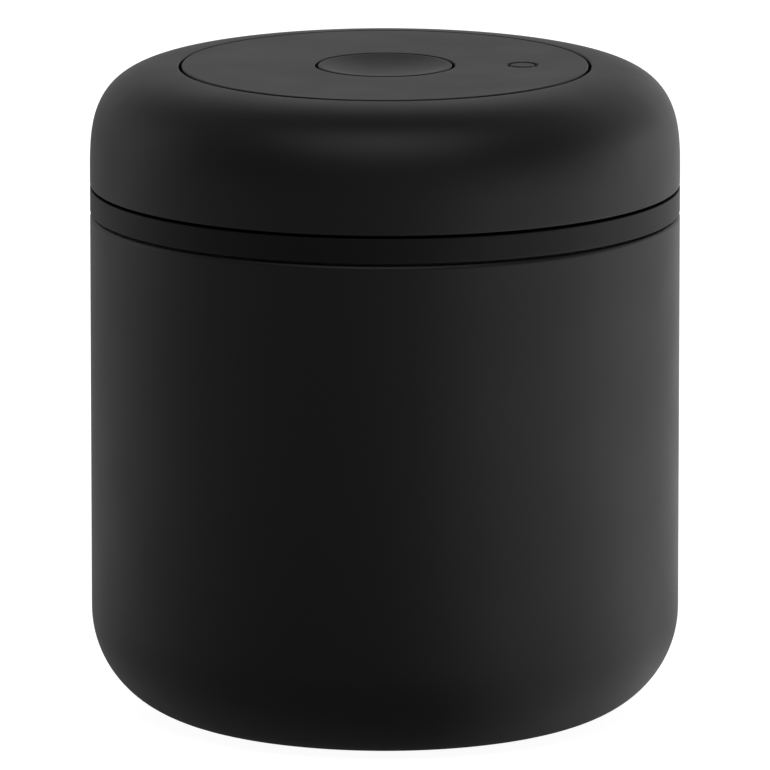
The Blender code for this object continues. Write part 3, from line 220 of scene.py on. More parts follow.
# The disc and the deck under it
DISC_THICKNESS = 0.0017
HOOK_CIRCLE = 0.0300
HOOK_THICKNESS = 0.0012
HOOK_WIDTH = 0.0034
HOOK_BARB = 0.0010
HOOK_CATCH = 0.1268
HOOK_TIP = 0.1256
DECK_THICKNESS = 0.0020
CUP_RADIUS = 0.0151
CUP_WALL = 0.0016
CUP_FLOOR_TOP = 0.1170
CUP_FLOOR_UNDER = 0.1155
STEM_HOLE = 0.0024
LEG_CIRCLE = 0.03181
LEG_AZIMUTHS = (math.radians(30), math.radians(150), math.radians(270))
LEG_RADIUS = 0.0044
LEG_BORE = 0.0031
LEG_FLOOR = 0.1068
POST_RADIUS = 0.0038
POST_TOP = 0.1040

# The button and the release valve
BUTTON_RADIUS = 0.0134
BUTTON_HOLE = 0.0140
BUTTON_RIM = 0.0006
BUTTON_SHELL = 0.0016
BUTTON_FLANGE = 0.0014
BUTTON_BOSS = 0.0034
DISH_STEPS = 40
STEM_RADIUS = 0.0017
STEM_SOCKET = 0.0019
SOCKET_DEPTH = 0.0045
POPPET_THICKNESS = 0.0012

# The indicator
PIN_RADIUS = 0.00255
PIN_HOLE = 0.00305
PIN_GUIDE = 0.0029
PIN_COLLAR = 0.00345
PIN_COLLAR_HEIGHTS = (0.1258, 0.1270)
PIN_ROD = 0.0015
PIN_HEAD = 0.0029
PIN_HEAD_TOP = 0.1029
PIN_GROOVE = 0.0019
PIN_GROOVE_HEIGHTS = (0.1005, 0.1020)
INDICATOR_BORE = 0.0032
INDICATOR_TUBE = 0.0045
INDICATOR_TUBE_HEIGHTS = (0.0888, 0.1041)
INDICATOR_NECK = 0.0025
INDICATOR_LEDGE = 0.0901
INDICATOR_PORT = 0.0012

# Screws, as head radius, head height, shank radius and length, the heights of their seats, and
# the shares of a pitch or of the head that shape the thread and the cross
DECK_SCREW = (0.0026, 0.0020, 0.0013, 0.0095)
CAP_SCREW = (0.0016, 0.0014, 0.0009, 0.0080)
CAP_SCREW_SEAT = 0.1097
DECK_SCREW_SEAT = 0.1071
THREAD_DEPTH = 0.00016
THREAD_ROOT = (0.4, 0.6)
CROSS_HALF_WIDTH = 0.16
CROSS_REACH = 0.62
CROSS_DEPTH = 0.55
CROSS_TAPER = 0.62

# Springs, as coil radius, wire radius, bottom and top
BUTTON_COIL = (0.0088, 0.00045, 0.1173, 0.1275)
PIN_COIL = (0.0022, 0.00028, 0.0904, 0.0993)
DEAD_TURNS = 0.75
COIL_STEPS = 48

# Finishes: roughness, grains along a metre with their depth, how some are stretched along the
# axes, and the part of a noise's range that is used
COLLAR_ROUGHNESS = 0.53
MOULDING_ROUGHNESS = 0.5
SLIDING_ROUGHNESS = 0.34
RUBBER_ROUGHNESS = 0.42
FELT_ROUGHNESS = 0.95
LID_GRAIN = (4500.0, 0.000005)
COLLAR_GRAIN = (4000.0, 0.000004)
MOULDING_GRAIN = (3500.0, 0.000005)
SLIDING_GRAIN = (2500.0, 0.000003)
DRAWN_GRAIN = (2500.0, 0.000002)
RUBBER_GRAIN = (1800.0, 0.000004)
FIBRE_GRAIN = (1400.0, 0.00012)
RING_DEPTH = 0.000006
NOISE_RANGE = (0.3, 0.7)
RING_STRETCH = (14.0, 14.0, 4200.0)
FIBRE_STRETCHES = ((1.0, 0.15, 1.0), (0.15, 1.0, 1.0))
DRAWN_STRETCH = (1.0, 1.0, 0.2)
COLLAR_SHEEN = 0.7
GLOW_DEPTH = 0.001

# The studio: soft boxes as size and place, bearings turned to the right from the camera, and
# the two ends of each soft border
LAMPS = {
    "top": ((1.3, 1.1), (0.0, -0.8, 1.4)),
    "right": ((1.0, 0.36), (1.5, 0.6, 0.18)),
    "left": ((0.7, 1.2), (-1.6, 0.5, 0.35)),
}
LAMP_AIM = 0.06
FLOOR_RADIUS = 12.0
FLOOR_STEPS = 64
FLOOR_PAINT = 0.3
FLOOR_WHITE = 0.95
# Bearings and borders of the painted light on the floor's glow, and of the painted shadow at the canister's
# foot, as shiny surfaces see them
FLOOR_BEARING = math.radians(67)
RIM_BEARING = math.radians(150)
FLOOR_BORDER = (0.5, 1.0)
RIM_BORDER = (0.8, 1.0)
LEFT_BORDER = (-1.0, -0.5)
FOOT_BORDER = (0.04, 0.07)
SHADE_BORDER = (0.05, 0.2)
WALL_BORDER = (0.05, 0.35)
WALL_TOP = (0.55, 0.85)
WALL_RIGHT = (0.05, 0.4)


# Facts about the frame


def extent(node):
    """How far a node reaches to the right, and the heights of its bottom and its top."""
    low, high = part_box(node)
    return high.x, low.z, high.z


def body_of(node):
    bodies = frame["record"]["behaviour"]["bodies"]
    return next(name for name, members in bodies.items() if node in members)


def pin_place():
    """Where the indicator stands, from the middle of its own box."""
    low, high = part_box("indicator_pin")
    return (low.x + high.x) / 2, 0.0


# Shapes


def place(radius, azimuth):
    return radius * math.cos(azimuth), radius * math.sin(azimuth)


def draw(bm, points, roundings, closed):
    """A wire through some points, with its corners rounded, given back as its parts."""
    before = {*bm.verts, *bm.edges}
    corners = [bm.verts.new(point) for point in points]
    for pair in zip(corners, corners[1:] + corners[:1] if closed else corners[1:]):
        bm.edges.new(pair)
    for corner, rounding in zip(corners, roundings):
        if rounding:
            round_corner(bm, corner, rounding)
    return [part for part in (*bm.verts, *bm.edges) if part not in before]


def round_corner(bm, corner, rounding):
    """Round one corner of a wire, and keep a short straight run on each side of the arc."""
    segments = round(rounding * math.pi / 2 / ROUNDING_ARC)
    made = bmesh.ops.bevel(
        bm,
        geom=[corner],
        affect="VERTICES",
        offset=rounding,
        offset_type="OFFSET",
        segments=min(max(segments, FEWEST_SEGMENTS), MOST_SEGMENTS),
        profile=0.5,
        material=-1,
    )
    arc = set(made["verts"])
    for vert in made["verts"]:
        for edge in list(vert.link_edges):
            if edge.other_vert(vert) not in arc and edge.calc_length() > 2 * SUPPORT:
                bmesh.utils.edge_split(edge, vert, SUPPORT / edge.calc_length())


def turn(bm, outline, steps, centre=(0.0, 0.0), closed=True):
    """Spin an outline round an upright axis. One that ends on the axis stays open there."""
    points = [(centre[0] + corner[0], centre[1], corner[1]) for corner in outline]
    roundings = [(*corner, 0.0)[2] for corner in outline]
    wire = draw(bm, points, roundings, closed and outline[-1][0] > 0)
    bmesh.ops.spin(
        bm,
        geom=wire,
        cent=(*centre, 0.0),
        axis=UPRIGHT,
        angle=2 * math.pi,
        steps=steps,
        use_merge=True,
    )


def turned(outline, steps, centre=(0.0, 0.0)):
    bm = bmesh.new()
    turn(bm, outline, steps, centre)
    return bm


def walls(*rows):
    """Outline of upright walls, one after another, as rows of radius, two heights and roundings.

    A row without roundings has EDGE at both its ends, and a row with one has that at both.
    """
    corners = []
    for radius, start, end, *roundings in rows:
        first, last = ((roundings or [EDGE]) * 2)[:2]
        corners += [(radius, start, first), (radius, end, last)]
    return corners


def solid(*rows):
    """Outline of upright walls that is closed on the axis at both its ends."""
    corners = walls(*rows)
    return [(0.0, corners[0][1]), *corners, (0.0, corners[-1][1])]


def band(inner, outer, bottom, top, rounding):
    """Outline of a ring with the same rounding at its four edges."""
    return walls((outer, top, bottom, rounding), (inner, bottom, top, rounding))


def drill(bm, radius, bottom, top, centre, mouth=EDGE, steps=HOLE_STEPS, blind=False):
    """Cutter for a hole with chamfered mouths, right through or down to a rounded floor."""
    outline = [(0.0, top + mouth), (radius + 2 * mouth, top + mouth), (radius, top - mouth)]
    if blind:
        outline += [(radius, bottom, mouth), (0.0, bottom)]
    else:
        outline += lower_mouth(radius, bottom, mouth)
    turn(bm, outline, steps, centre)


def lower_mouth(radius, bottom, mouth=EDGE):
    wide, under = radius + 2 * mouth, bottom - mouth
    return [(radius, bottom + mouth), (wide, under), (0.0, under)]


def bar(bm, low_corner, high_corner, azimuth, rounding=0.0):
    """A block in the frame turned to azimuth, with its edges rounded."""
    size = [end - start for start, end in zip(low_corner, high_corner)]
    middle = [(end + start) / 2 for start, end in zip(low_corner, high_corner)]
    matrix = Matrix.Rotation(azimuth, 4, "Z") @ Matrix.Translation(middle)
    made = bmesh.ops.create_cube(bm, size=1.0, matrix=matrix @ Matrix.Diagonal((*size, 1.0)))
    if rounding:
        edges = {edge for vert in made["verts"] for edge in vert.link_edges}
        bmesh.ops.bevel(
            bm,
            geom=list(edges),
            affect="EDGES",
            offset=rounding,
            offset_type="OFFSET",
            segments=EDGE_SEGMENTS,
            profile=0.5,
            material=-1,
        )


def loop_through(bm, points):
    verts = [bm.verts.new(point) for point in points]
    return [bm.edges.new(pair) for pair in zip(verts, verts[1:] + verts[:1])]


def tidy(bm):
    bmesh.ops.remove_doubles(bm, verts=bm.verts, dist=MERGE_DISTANCE)
    bmesh.ops.recalc_face_normals(bm, faces=bm.faces)


def fill_levels(bm, *levels):
    """Merge what meets, then close the open loops at some heights with flat faces."""
    bmesh.ops.remove_doubles(bm, verts=bm.verts, dist=MERGE_DISTANCE)
    for level in levels:
        edges = [
            edge
            for edge in bm.edges
            if len(edge.link_faces) == 1
            and all(abs(vert.co.z - level) < MERGE_DISTANCE for vert in edge.verts)
        ]
        bmesh.ops.triangle_fill(bm, use_beauty=True, use_dissolve=False, edges=edges)


def add_object(name, data):
    added = bpy.data.objects.new(name, data)
    bpy.context.scene.collection.objects.link(added)
    return added


def mesh_from(name, bm):
    mesh = bpy.data.meshes.new(name)
    bm.to_mesh(mesh)
    bm.free()
    return mesh


def combine(bm, tools, operation):
    """Join tools to a solid or cut them out of it, in one Boolean."""
    tidy(bm)
    tidy(tools)
    made = [add_object(name, mesh_from(name, part)) for name, part in (("solid", bm), ("tools", tools))]
    step = made[0].modifiers.new("combine", "BOOLEAN")
    step.operation = operation
    step.solver = "EXACT"
    step.use_self = operation == "UNION"
    step.object = made[1]
    result = bmesh.new()
    result.from_object(made[0], bpy.context.evaluated_depsgraph_get())
    for added in made:
        mesh = added.data
        bpy.data.objects.remove(added)
        bpy.data.meshes.remove(mesh)
    return result


def make_piece(name, bm, node, *finishes):
    """Put a finished mesh in the place of a node of the frame, with its finishes and its body."""
    tidy(bm)
    mesh = mesh_from(name, bm)
    mesh.shade_smooth()
    mesh.set_sharp_from_angle(angle=SHARP_ANGLE)
    for finish in finishes:
        mesh.materials.append(finish_named(finish))
    piece = add_object(name, mesh)
    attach(piece, body_of(node))
    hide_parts(node)
    return piece


# Finishes


class Wiring:
    """Short ways to add nodes to a tree. An input is a plain value, or a socket to link from."""

    def __init__(self, tree):
        self.tree = tree

    def add(self, kind, inputs=None, **values):
        node = self.tree.nodes.new("ShaderNode" + kind)
        for key, value in values.items():
            setattr(node, key, value)
        self.feed(node, inputs or {})
        return node

    def feed(self, node, inputs):
        for key, value in inputs.items():
            if isinstance(value, bpy.types.NodeSocket):
                self.tree.links.new(value, node.inputs[key])
            else:
                node.inputs[key].default_value = value

    def maths(self, operation, first, second):
        return self.add("Math", {0: first, 1: second}, operation=operation).outputs["Value"]

    def vector(self, operation, *sources):
        return self.add("VectorMath", dict(enumerate(sources)), operation=operation).outputs

    def span(self, source, start, end, first, last, kind="SMOOTHSTEP"):
        """Carry a source's range from start to end over to the range from first to last."""
        inputs = {"Value": source, "From Min": start, "From Max": end, "To Min": first, "To Max": last}
        return self.add("MapRange", inputs, interpolation_type=kind).outputs["Result"]

    def noise(self, scale, detail=2.0, stretch=(1.0, 1.0, 1.0), source=None):
        """Noise on object coordinates, which stay with the piece in every pose."""
        source = source or self.add("TexCoord").outputs["Object"]
        mapped = self.add("Mapping", {"Vector": source, "Scale": stretch}).outputs["Vector"]
        return self.add("TexNoise", {"Vector": mapped, "Scale": scale, "Detail": detail}).outputs["Fac"]


class Finish:
    """A new material with the shader's plain values set, ready for its grain."""

    def __init__(self, name, colour, roughness, **inputs):
        self.material = bpy.data.materials.new(name)
        self.material.use_nodes = True
        self.material.diffuse_color = (*colour, 1.0)
        self.colour, self.roughness = colour, roughness
        self.wiring = Wiring(self.material.node_tree)
        self.shader = self.material.node_tree.nodes["Principled BSDF"]
        self.wiring.feed(self.shader, {"Base Color": (*colour, 1.0), "Roughness": roughness, **inputs})

    def drift(self, noise, less, more):
        """Roughness that follows a noise, from a little less to a little more."""
        ends = self.roughness - less, self.roughness + more
        rough = self.wiring.span(noise, *NOISE_RANGE, *ends, "LINEAR")
        self.wiring.feed(self.shader, {"Roughness": rough})

    def tone(self, noise, *shares):
        """Colour that drifts between two close tones."""
        dark, light = [(*(channel * share for channel in self.colour), 1.0) for share in shares]
        factor = self.wiring.span(noise, *NOISE_RANGE, 0.0, 1.0, "LINEAR")
        mix = self.wiring.add("Mix", {"A": dark, "B": light, "Factor": factor}, data_type="RGBA")
        self.wiring.feed(self.shader, {"Base Color": mix.outputs["Result"]})

    def relief(self, noise, depth, strength=1.0):
        bump = self.wiring.add("Bump", {"Strength": strength, "Distance": depth, "Height": noise})
        self.wiring.feed(self.shader, {"Normal": bump.outputs["Normal"]})


def moulded(name, colour, roughness, density, depth, gloss=0.5, detail=2.0, clouds=60.0, tones=(0.9, 1.1)):
    """Fine grain in tone and relief, and a slow drift in gloss, for plastic and powder coat."""
    finish = Finish(name, colour, roughness, **{"Specular IOR Level": gloss})
    grain = finish.wiring.noise(density, detail)
    finish.drift(finish.wiring.noise(clouds), 0.02, 0.02)
    finish.tone(grain, *tones)
    finish.relief(grain, depth)
    return finish


def spun_steel(name, look):
    """Bare steel with fine rings left by the spinning tool, on walls and floor alike."""
    finish = Finish(name, look.steel_colour, look.steel_roughness, Metallic=1.0)
    wiring = finish.wiring
    position = wiring.add("TexCoord").outputs["Object"]
    split = wiring.add("SeparateXYZ", {"Vector": position}).outputs
    level = wiring.vector("MULTIPLY", position, (1.0, 1.0, 0.0))["Vector"]
    along = wiring.maths("ADD", wiring.vector("LENGTH", level)["Value"], split["Z"])
    across = wiring.add("CombineXYZ", {"X": split["X"], "Y": split["Y"], "Z": along}).outputs["Vector"]
    rings = wiring.noise(1.0, 3.0, RING_STRETCH, across)
    finish.drift(rings, 0.08, 0.10)
    finish.tone(rings, 0.86, 1.08)
    finish.relief(rings, RING_DEPTH)
    return finish


def turned_steel(name, look):
    """Bright steel of screws, pins and springs, with a fine drawn grain."""
    finish = Finish(name, look.steel_colour, look.steel_roughness, Metallic=1.0)
    clouds = finish.wiring.noise(220.0)
    finish.drift(clouds, 0.1, 0.08)
    finish.tone(clouds, 0.9, 1.1)
    density, depth = DRAWN_GRAIN
    finish.relief(finish.wiring.noise(density, 3.0, DRAWN_STRETCH), depth)
    return finish


def silicone(name, look):
    """Satin rubber with a faint moulding bloom, a little light let through its lips."""
    inputs = {"Subsurface Weight": 0.15, "Subsurface Radius": (GLOW_DEPTH, GLOW_DEPTH, GLOW_DEPTH)}
    finish = Finish(name, look.seal_colour, RUBBER_ROUGHNESS, **inputs)
    bloom = finish.wiring.noise(90.0, 3.0)
    finish.drift(bloom, 0.06, 0.08)
    finish.tone(bloom, 0.92, 1.1)
    density, depth = RUBBER_GRAIN
    finish.relief(finish.wiring.noise(density, 3.0), depth)
    return finish


def felt(name, look):
    """Pressed fibres: two stretched noises crossed, deep enough to show, and a soft sheen."""
    inputs = {"Specular IOR Level": 0.2, "Sheen Weight": 0.35, "Sheen Roughness": 0.5}
    finish = Finish(name, look.felt_colour, FELT_ROUGHNESS, **inputs)
    density, depth = FIBRE_GRAIN
    fibres = [finish.wiring.noise(density, 4.0, stretch) for stretch in FIBRE_STRETCHES]
    crossed = finish.wiring.maths("MAXIMUM", *fibres)
    finish.tone(crossed, 0.78, 1.1)
    finish.relief(crossed, depth, 0.7)
    return finish


def powder_coat(name, look):
    grain = look.grain_density, look.grain_depth
    drift = {"detail": 3.0, "clouds": 45.0, "tones": (0.88, 1.12)}
    return moulded(name, look.coat_colour, look.coat_roughness, *grain, look.black_gloss, **drift)


def black_lid(name, look):
    return moulded(name, look.lid_colour, look.lid_roughness, *LID_GRAIN, look.black_gloss)


def black_collar(name, look):
    gloss = look.black_gloss * COLLAR_SHEEN
    return moulded(name, look.collar_colour, COLLAR_ROUGHNESS, *COLLAR_GRAIN, gloss)


def dark_moulding(name, look):
    return moulded(name, look.deck_colour, MOULDING_ROUGHNESS, *MOULDING_GRAIN)


def white_sliding_plastic(name, look):
    return moulded(name, look.acetal_colour, SLIDING_ROUGHNESS, *SLIDING_GRAIN)


FINISHES = {
    "powder_coat": powder_coat,
    "spun_steel": spun_steel,
    "turned_steel": turned_steel,
    "black_lid": black_lid,
    "black_collar": black_collar,
    "dark_moulding": dark_moulding,
    "white_sliding_plastic": white_sliding_plastic,
    "grey_silicone": silicone,
    "felt": felt,
}


def finish_named(name):
    """A finish's material, made from the settings when it is first asked for."""
    made = bpy.data.materials.get(name)
    return made or FINISHES[name](name, bpy.context.scene.canister_finishes).material


# Settings that a user would change


def metres(name, description, default, **limits):
    return bpy.props.FloatProperty(
        name=name, description=description, default=default, unit="LENGTH", **limits
    )


def tint(name, description, default):
    return bpy.props.FloatVectorProperty(
        name=name, description=description, default=default, subtype="COLOR"
    )


def portion(name, description, default, lowest=0.0, highest=1.0):
    return bpy.props.FloatProperty(
        name=name, description=description, default=default, min=lowest, max=highest, subtype="FACTOR"
    )


def watts(name, description, default):
    return bpy.props.FloatProperty(name=name, description=description, default=default, unit="POWER")


def number(name, description, default, lowest=0.0):
    return bpy.props.FloatProperty(name=name, description=description, default=default, min=lowest)


class CanisterSizes(bpy.types.PropertyGroup):
    can_wall: metres("Can Wall", "Thickness of the can's steel", 0.0010)
    can_corner: metres("Can Corner", "Outside radius between the can's wall and its base", 0.0213)
    panel_rise: metres("Panel Rise", "Height of the raised panel in the can's base", 0.0012)
    shoulder_power: number(
        "Shoulder", "How square the cap's shoulder is: 2 is a quarter ellipse, and more is squarer", 3.15, 2.0
    )
    disc_seam: metres("Disc Seam", "Width of the gap round the top disc", 0.0006)
    button_dish: metres("Button Dish", "Depth of the button's dish", 0.0014)
    lip_height: metres("Gasket Lip", "Height of a gasket lip where it joins the band", 0.0030)
    thread_pitch: metres("Thread Pitch", "Distance between two thread rings of a screw", 0.0006)
    filter_slots: bpy.props.IntProperty(
        name="Filter Slots", description="Number of slots in the filter's cover", default=16, min=3
    )
    coil_turns: number("Coil Turns", "Open turns of each spring, without its two end turns", 2.75, 1.0)


class CanisterFinishes(bpy.types.PropertyGroup):
    coat_colour: tint("Coat", "Colour of the coated steel can", (0.0045, 0.0045, 0.0047))
    lid_colour: tint("Lid", "Colour of the cap, the disc, the button and the pin", (0.0045, 0.0045, 0.0047))
    collar_colour: tint("Collar", "Colour of the lid base and its collar", (0.0020, 0.0020, 0.0021))
    steel_colour: tint("Steel", "Colour of the bare steel inside the can", (0.56, 0.56, 0.57))
    seal_colour: tint("Seal", "Colour of the rubber seals", (0.16, 0.165, 0.17))
    deck_colour: tint(
        "Deck", "Colour of the deck under the disc and of the filter's cover", (0.035, 0.035, 0.037)
    )
    acetal_colour: tint(
        "Sliding Plastic", "Colour of the sleeve, the piston and the slip ring", (0.7, 0.7, 0.68)
    )
    felt_colour: tint("Felt", "Colour of the filter's pad", (0.55, 0.54, 0.5))
    coat_roughness: portion("Coat Roughness", "Roughness of the coat", 0.5, 0.05)
    lid_roughness: portion("Lid Roughness", "Roughness of the moulded lid", 0.5, 0.05)
    black_gloss: portion(
        "Black Gloss", "Strength of the straight-on reflection of the black surfaces", 0.12
    )
    steel_roughness: portion("Steel Roughness", "Roughness of the bare steel", 0.3, 0.1, 0.9)
    grain_density: number("Grain Density", "Grains of the coat along a metre", 3000.0, 100.0)
    grain_depth: metres("Grain Depth", "Depth of the coat's grain", 0.000006, min=0.0, precision=6)


class CanisterStudio(bpy.types.PropertyGroup):
    distance: metres("Distance", "Distance of the camera from the canister", 2.569)
    elevation: bpy.props.FloatProperty(
        name="Elevation",
        description="Angle of the camera above the horizon",
        default=math.radians(11.29),
        subtype="ANGLE",
    )
    aim_height: metres("Aim Height", "Height that the camera looks at", 0.0661)
    lens: number("Lens", "Focal length in millimetres", 598.7, 1.0)
    top_power: watts("Top Lamp", "Power of the soft box overhead", 21.0)
    right_power: watts("Right Lamp", "Power of the soft box on the right", 4.0)
    left_power: watts("Left Lamp", "Power of the soft box on the left", 4.5)
    backdrop: number("Backdrop", "Brightness of the white wall behind the canister", 0.82)
    floor_shine: portion(
        "Floor Shine", "How bright the floor looks in shiny surfaces, as a share of its own white", 0.42
    )
    # The gains on the right, behind and on the left paint light into the floor's glow that shiny surfaces
    # see, and the foot shade paints a shadow into that glow at the canister's foot.
    painted_light_right_gain: number(
        "Floor Gain", "How many times brighter shiny surfaces see the floor on the right", 8.8
    )
    painted_light_behind_gain: number(
        "Rim Gain", "How many times brighter shiny surfaces see the floor behind on the right", 3.0
    )
    painted_light_left_gain: number(
        "Left Floor Gain", "How many times brighter shiny surfaces see the floor on the left", 1.8
    )
    painted_foot_shade: portion("Foot Shade", "Share of the floor's shine that is left at the canister's foot", 0.35)
    wall_gain: number("Wall Gain", "How many times brighter the wall is on the right", 1.7)
    room: number("Room", "Brightness of the rest of the studio", 0.1)


# Operators: the studio


class CANISTER_OT_studio(bpy.types.Operator):
    """Camera at the photograph's angle, a white floor and soft boxes overhead and at the sides"""

    bl_idname = "canister.studio"
    bl_label = "Studio"

    def execute(self, context):
        studio = context.scene.canister_studio
        context.scene.view_settings.view_transform = "Standard"
        context.scene.camera = add_camera(studio)
        context.scene.world = paint_world(studio)
        add_floor(studio)
        for name, (size, spot) in LAMPS.items():
            add_lamp(f"{name}_soft_box", getattr(studio, f"{name}_power"), size, spot)
        return {"FINISHED"}


def face_along(holder, direction):
    holder.rotation_euler = direction.to_track_quat("-Z", "Y").to_euler()


def add_camera(studio):
    camera = add_object("camera", bpy.data.cameras.new("camera"))
    back = Vector((0.0, -math.cos(studio.elevation), math.sin(studio.elevation)))
    camera.location = Vector((0.0, 0.0, studio.aim_height)) + back * studio.distance
    face_along(camera, -back)
    camera.data.lens = studio.lens
    return camera


def add_lamp(name, power, size, spot):
    """A soft box that faces the canister."""
    lamp = add_object(name, bpy.data.lights.new(name, "AREA"))
    lamp.data.energy = power
    lamp.data.shape = "RECTANGLE"
    lamp.data.size, lamp.data.size_y = size
    lamp.location = spot
    face_along(lamp, Vector((0.0, 0.0, LAMP_AIM)) - Vector(spot))
    lamp.visible_camera = False


def add_floor(studio):
    """A wide round floor, white to the camera and glowing to shiny surfaces, that keeps the shadow; that glow
    holds painted light on the sides and painted shade at the foot.
    """
    bm = bmesh.new()
    bmesh.ops.create_circle(bm, cap_ends=True, segments=FLOOR_STEPS, radius=FLOOR_RADIUS)
    floor = add_object("floor", mesh_from("floor", bm))
    material = bpy.data.materials.new("floor_paint")
    material.use_nodes = True
    material.node_tree.nodes.clear()
    wiring = Wiring(material.node_tree)
    side = wiring.add("NewGeometry").outputs
    seen = seen_share(wiring, floor_shine(wiring, side["Position"], studio))
    paint = wiring.add("BsdfDiffuse", {"Color": (FLOOR_PAINT, FLOOR_PAINT, FLOOR_PAINT, 1.0)})
    glow = wiring.add("Emission", {"Strength": wiring.maths("MULTIPLY", seen, FLOOR_WHITE)})
    lit = wiring.add("AddShader", {0: paint.outputs["BSDF"], 1: glow.outputs["Emission"]})
    clear = wiring.add("BsdfTransparent")
    shaders = {0: side["Backfacing"], 1: lit.outputs["Shader"], 2: clear.outputs["BSDF"]}
    below = wiring.add("MixShader", shaders)
    wiring.add("OutputMaterial", {"Surface": below.outputs["Shader"]})
    floor.data.materials.append(material)


def floor_shine(wiring, position, studio):
    """How bright shiny surfaces see the floor: painted shade at the canister's foot, and painted light on the
    right, behind on the right and on the left.
    """
    across = wiring.vector("NORMALIZE", position)["Vector"]
    reach = wiring.vector("LENGTH", position)["Value"]
    leftward = wiring.add("SeparateXYZ", {"Vector": across}).outputs["X"]
    side, behind = facing(wiring, across, FLOOR_BEARING), facing(wiring, across, RIM_BEARING)
    # Painted light: the floor's glow is made brighter on the right, behind on the right and on the left.
    right = wiring.span(side, *FLOOR_BORDER, 0.0, studio.painted_light_right_gain - 1)
    rim = wiring.span(behind, *RIM_BORDER, 0.0, studio.painted_light_behind_gain - 1)
    left = wiring.span(leftward, *LEFT_BORDER, studio.painted_light_left_gain - 1, 0.0)
    away = wiring.span(reach, *FOOT_BORDER, 0.0, studio.floor_shine)
    # Painted shadow: the floor's glow is darkened round the canister's foot.
    foot = wiring.span(reach, *SHADE_BORDER, studio.painted_foot_shade, 1.0)
    gain = wiring.maths("ADD", wiring.maths("ADD", right, rim), left)
    even = wiring.maths("ADD", wiring.maths("MULTIPLY", gain, away), studio.floor_shine)
    return wiring.maths("MULTIPLY", even, foot)


def facing(wiring, direction, bearing):
    """How squarely a level direction points to a bearing: one when it does, and less beside it."""
    target = (math.sin(bearing), -math.cos(bearing), 0.0)
    return wiring.vector("DOT_PRODUCT", direction, target)["Value"]


def seen_share(wiring, shine):
    """One for a camera ray, shine for a glossy or transmission ray, nought for the rest."""
    rays = wiring.add("LightPath").outputs
    shiny = wiring.maths("MAXIMUM", rays["Is Glossy Ray"], rays["Is Transmission Ray"])
    return wiring.maths("MAXIMUM", wiring.maths("MULTIPLY", shiny, shine), rays["Is Camera Ray"])


def paint_world(studio):
    """A white wall low round the back, a dim room elsewhere, and white to the camera."""
    world = bpy.data.worlds.new("studio")
    world.use_nodes = True
    wiring = Wiring(world.node_tree)
    direction = wiring.add("TexCoord").outputs["Generated"]
    split = wiring.add("SeparateXYZ", {"Vector": direction}).outputs
    behind = wiring.span(split["Y"], *WALL_BORDER, 0.0, 1.0)
    lower = wiring.span(split["Z"], *WALL_TOP, 1.0, 0.0)
    wall = wiring.maths("MULTIPLY", behind, lower)
    strength = wiring.span(wall, 0.0, 1.0, studio.room, studio.backdrop, "LINEAR")
    rightward = wiring.span(split["X"], *WALL_RIGHT, 1.0, studio.wall_gain)
    lit = wiring.maths("MULTIPLY", strength, rightward)
    rays = wiring.add("LightPath").outputs
    shown = wiring.maths("MAXIMUM", lit, rays["Is Camera Ray"])
    background = world.node_tree.nodes["Background"]
    wiring.feed(background, {"Color": (1.0, 1.0, 1.0, 1.0), "Strength": shown})
    return world


# Operators: the pieces


class CANISTER_OT_steel_can(bpy.types.Operator):
    """Drawn can with a rolled rim, a large base corner and a bare inside"""

    bl_idname = "canister.steel_can"
    bl_label = "Steel Can"

    def execute(self, context):
        sizes = context.scene.canister_sizes
        wall, corner, rise = sizes.can_wall, sizes.can_corner, sizes.panel_rise
        radius, _, rim = extent("canister_body")
        inner = radius - wall
        ring_inner = radius - corner - RING_WIDTH
        panel = ring_inner - PANEL_SLOPE
        outline = [
            (0.0, rise),
            (panel, rise, EDGE * 2),
            (ring_inner, 0.0, EDGE * 2),
            (radius, 0.0, corner),
            (radius, rim, wall * RIM_SHARES[0]),
            (inner, rim, wall * RIM_SHARES[1]),
            (inner, wall, corner - wall),
            (ring_inner, wall, EDGE * 2),
            (panel, rise + wall, EDGE * 2),
            (0.0, rise + wall),
        ]
        bm = turned(outline, OUTER_STEPS)
        for face in bm.faces:
            middle = face.calc_center_median()
            across = math.hypot(middle.x, middle.y)
            over_floor = middle.z > rise + wall / 2 or across > ring_inner
            inside = inside_can(across, middle.z, radius, wall, corner)
            face.material_index = int(inside and over_floor)
        make_piece("can", bm, "canister_body", "powder_coat", "spun_steel")
        return {"FINISHED"}


def inside_can(across, height, radius, wall, corner):
    """Whether a point of the can's skin lies inside its wall's middle line."""
    centre = radius - corner
    if height > corner:
        return across < radius - wall / 2
    if across < centre:
        return height > wall / 2
    return math.hypot(across - centre, height - corner) < corner - wall / 2


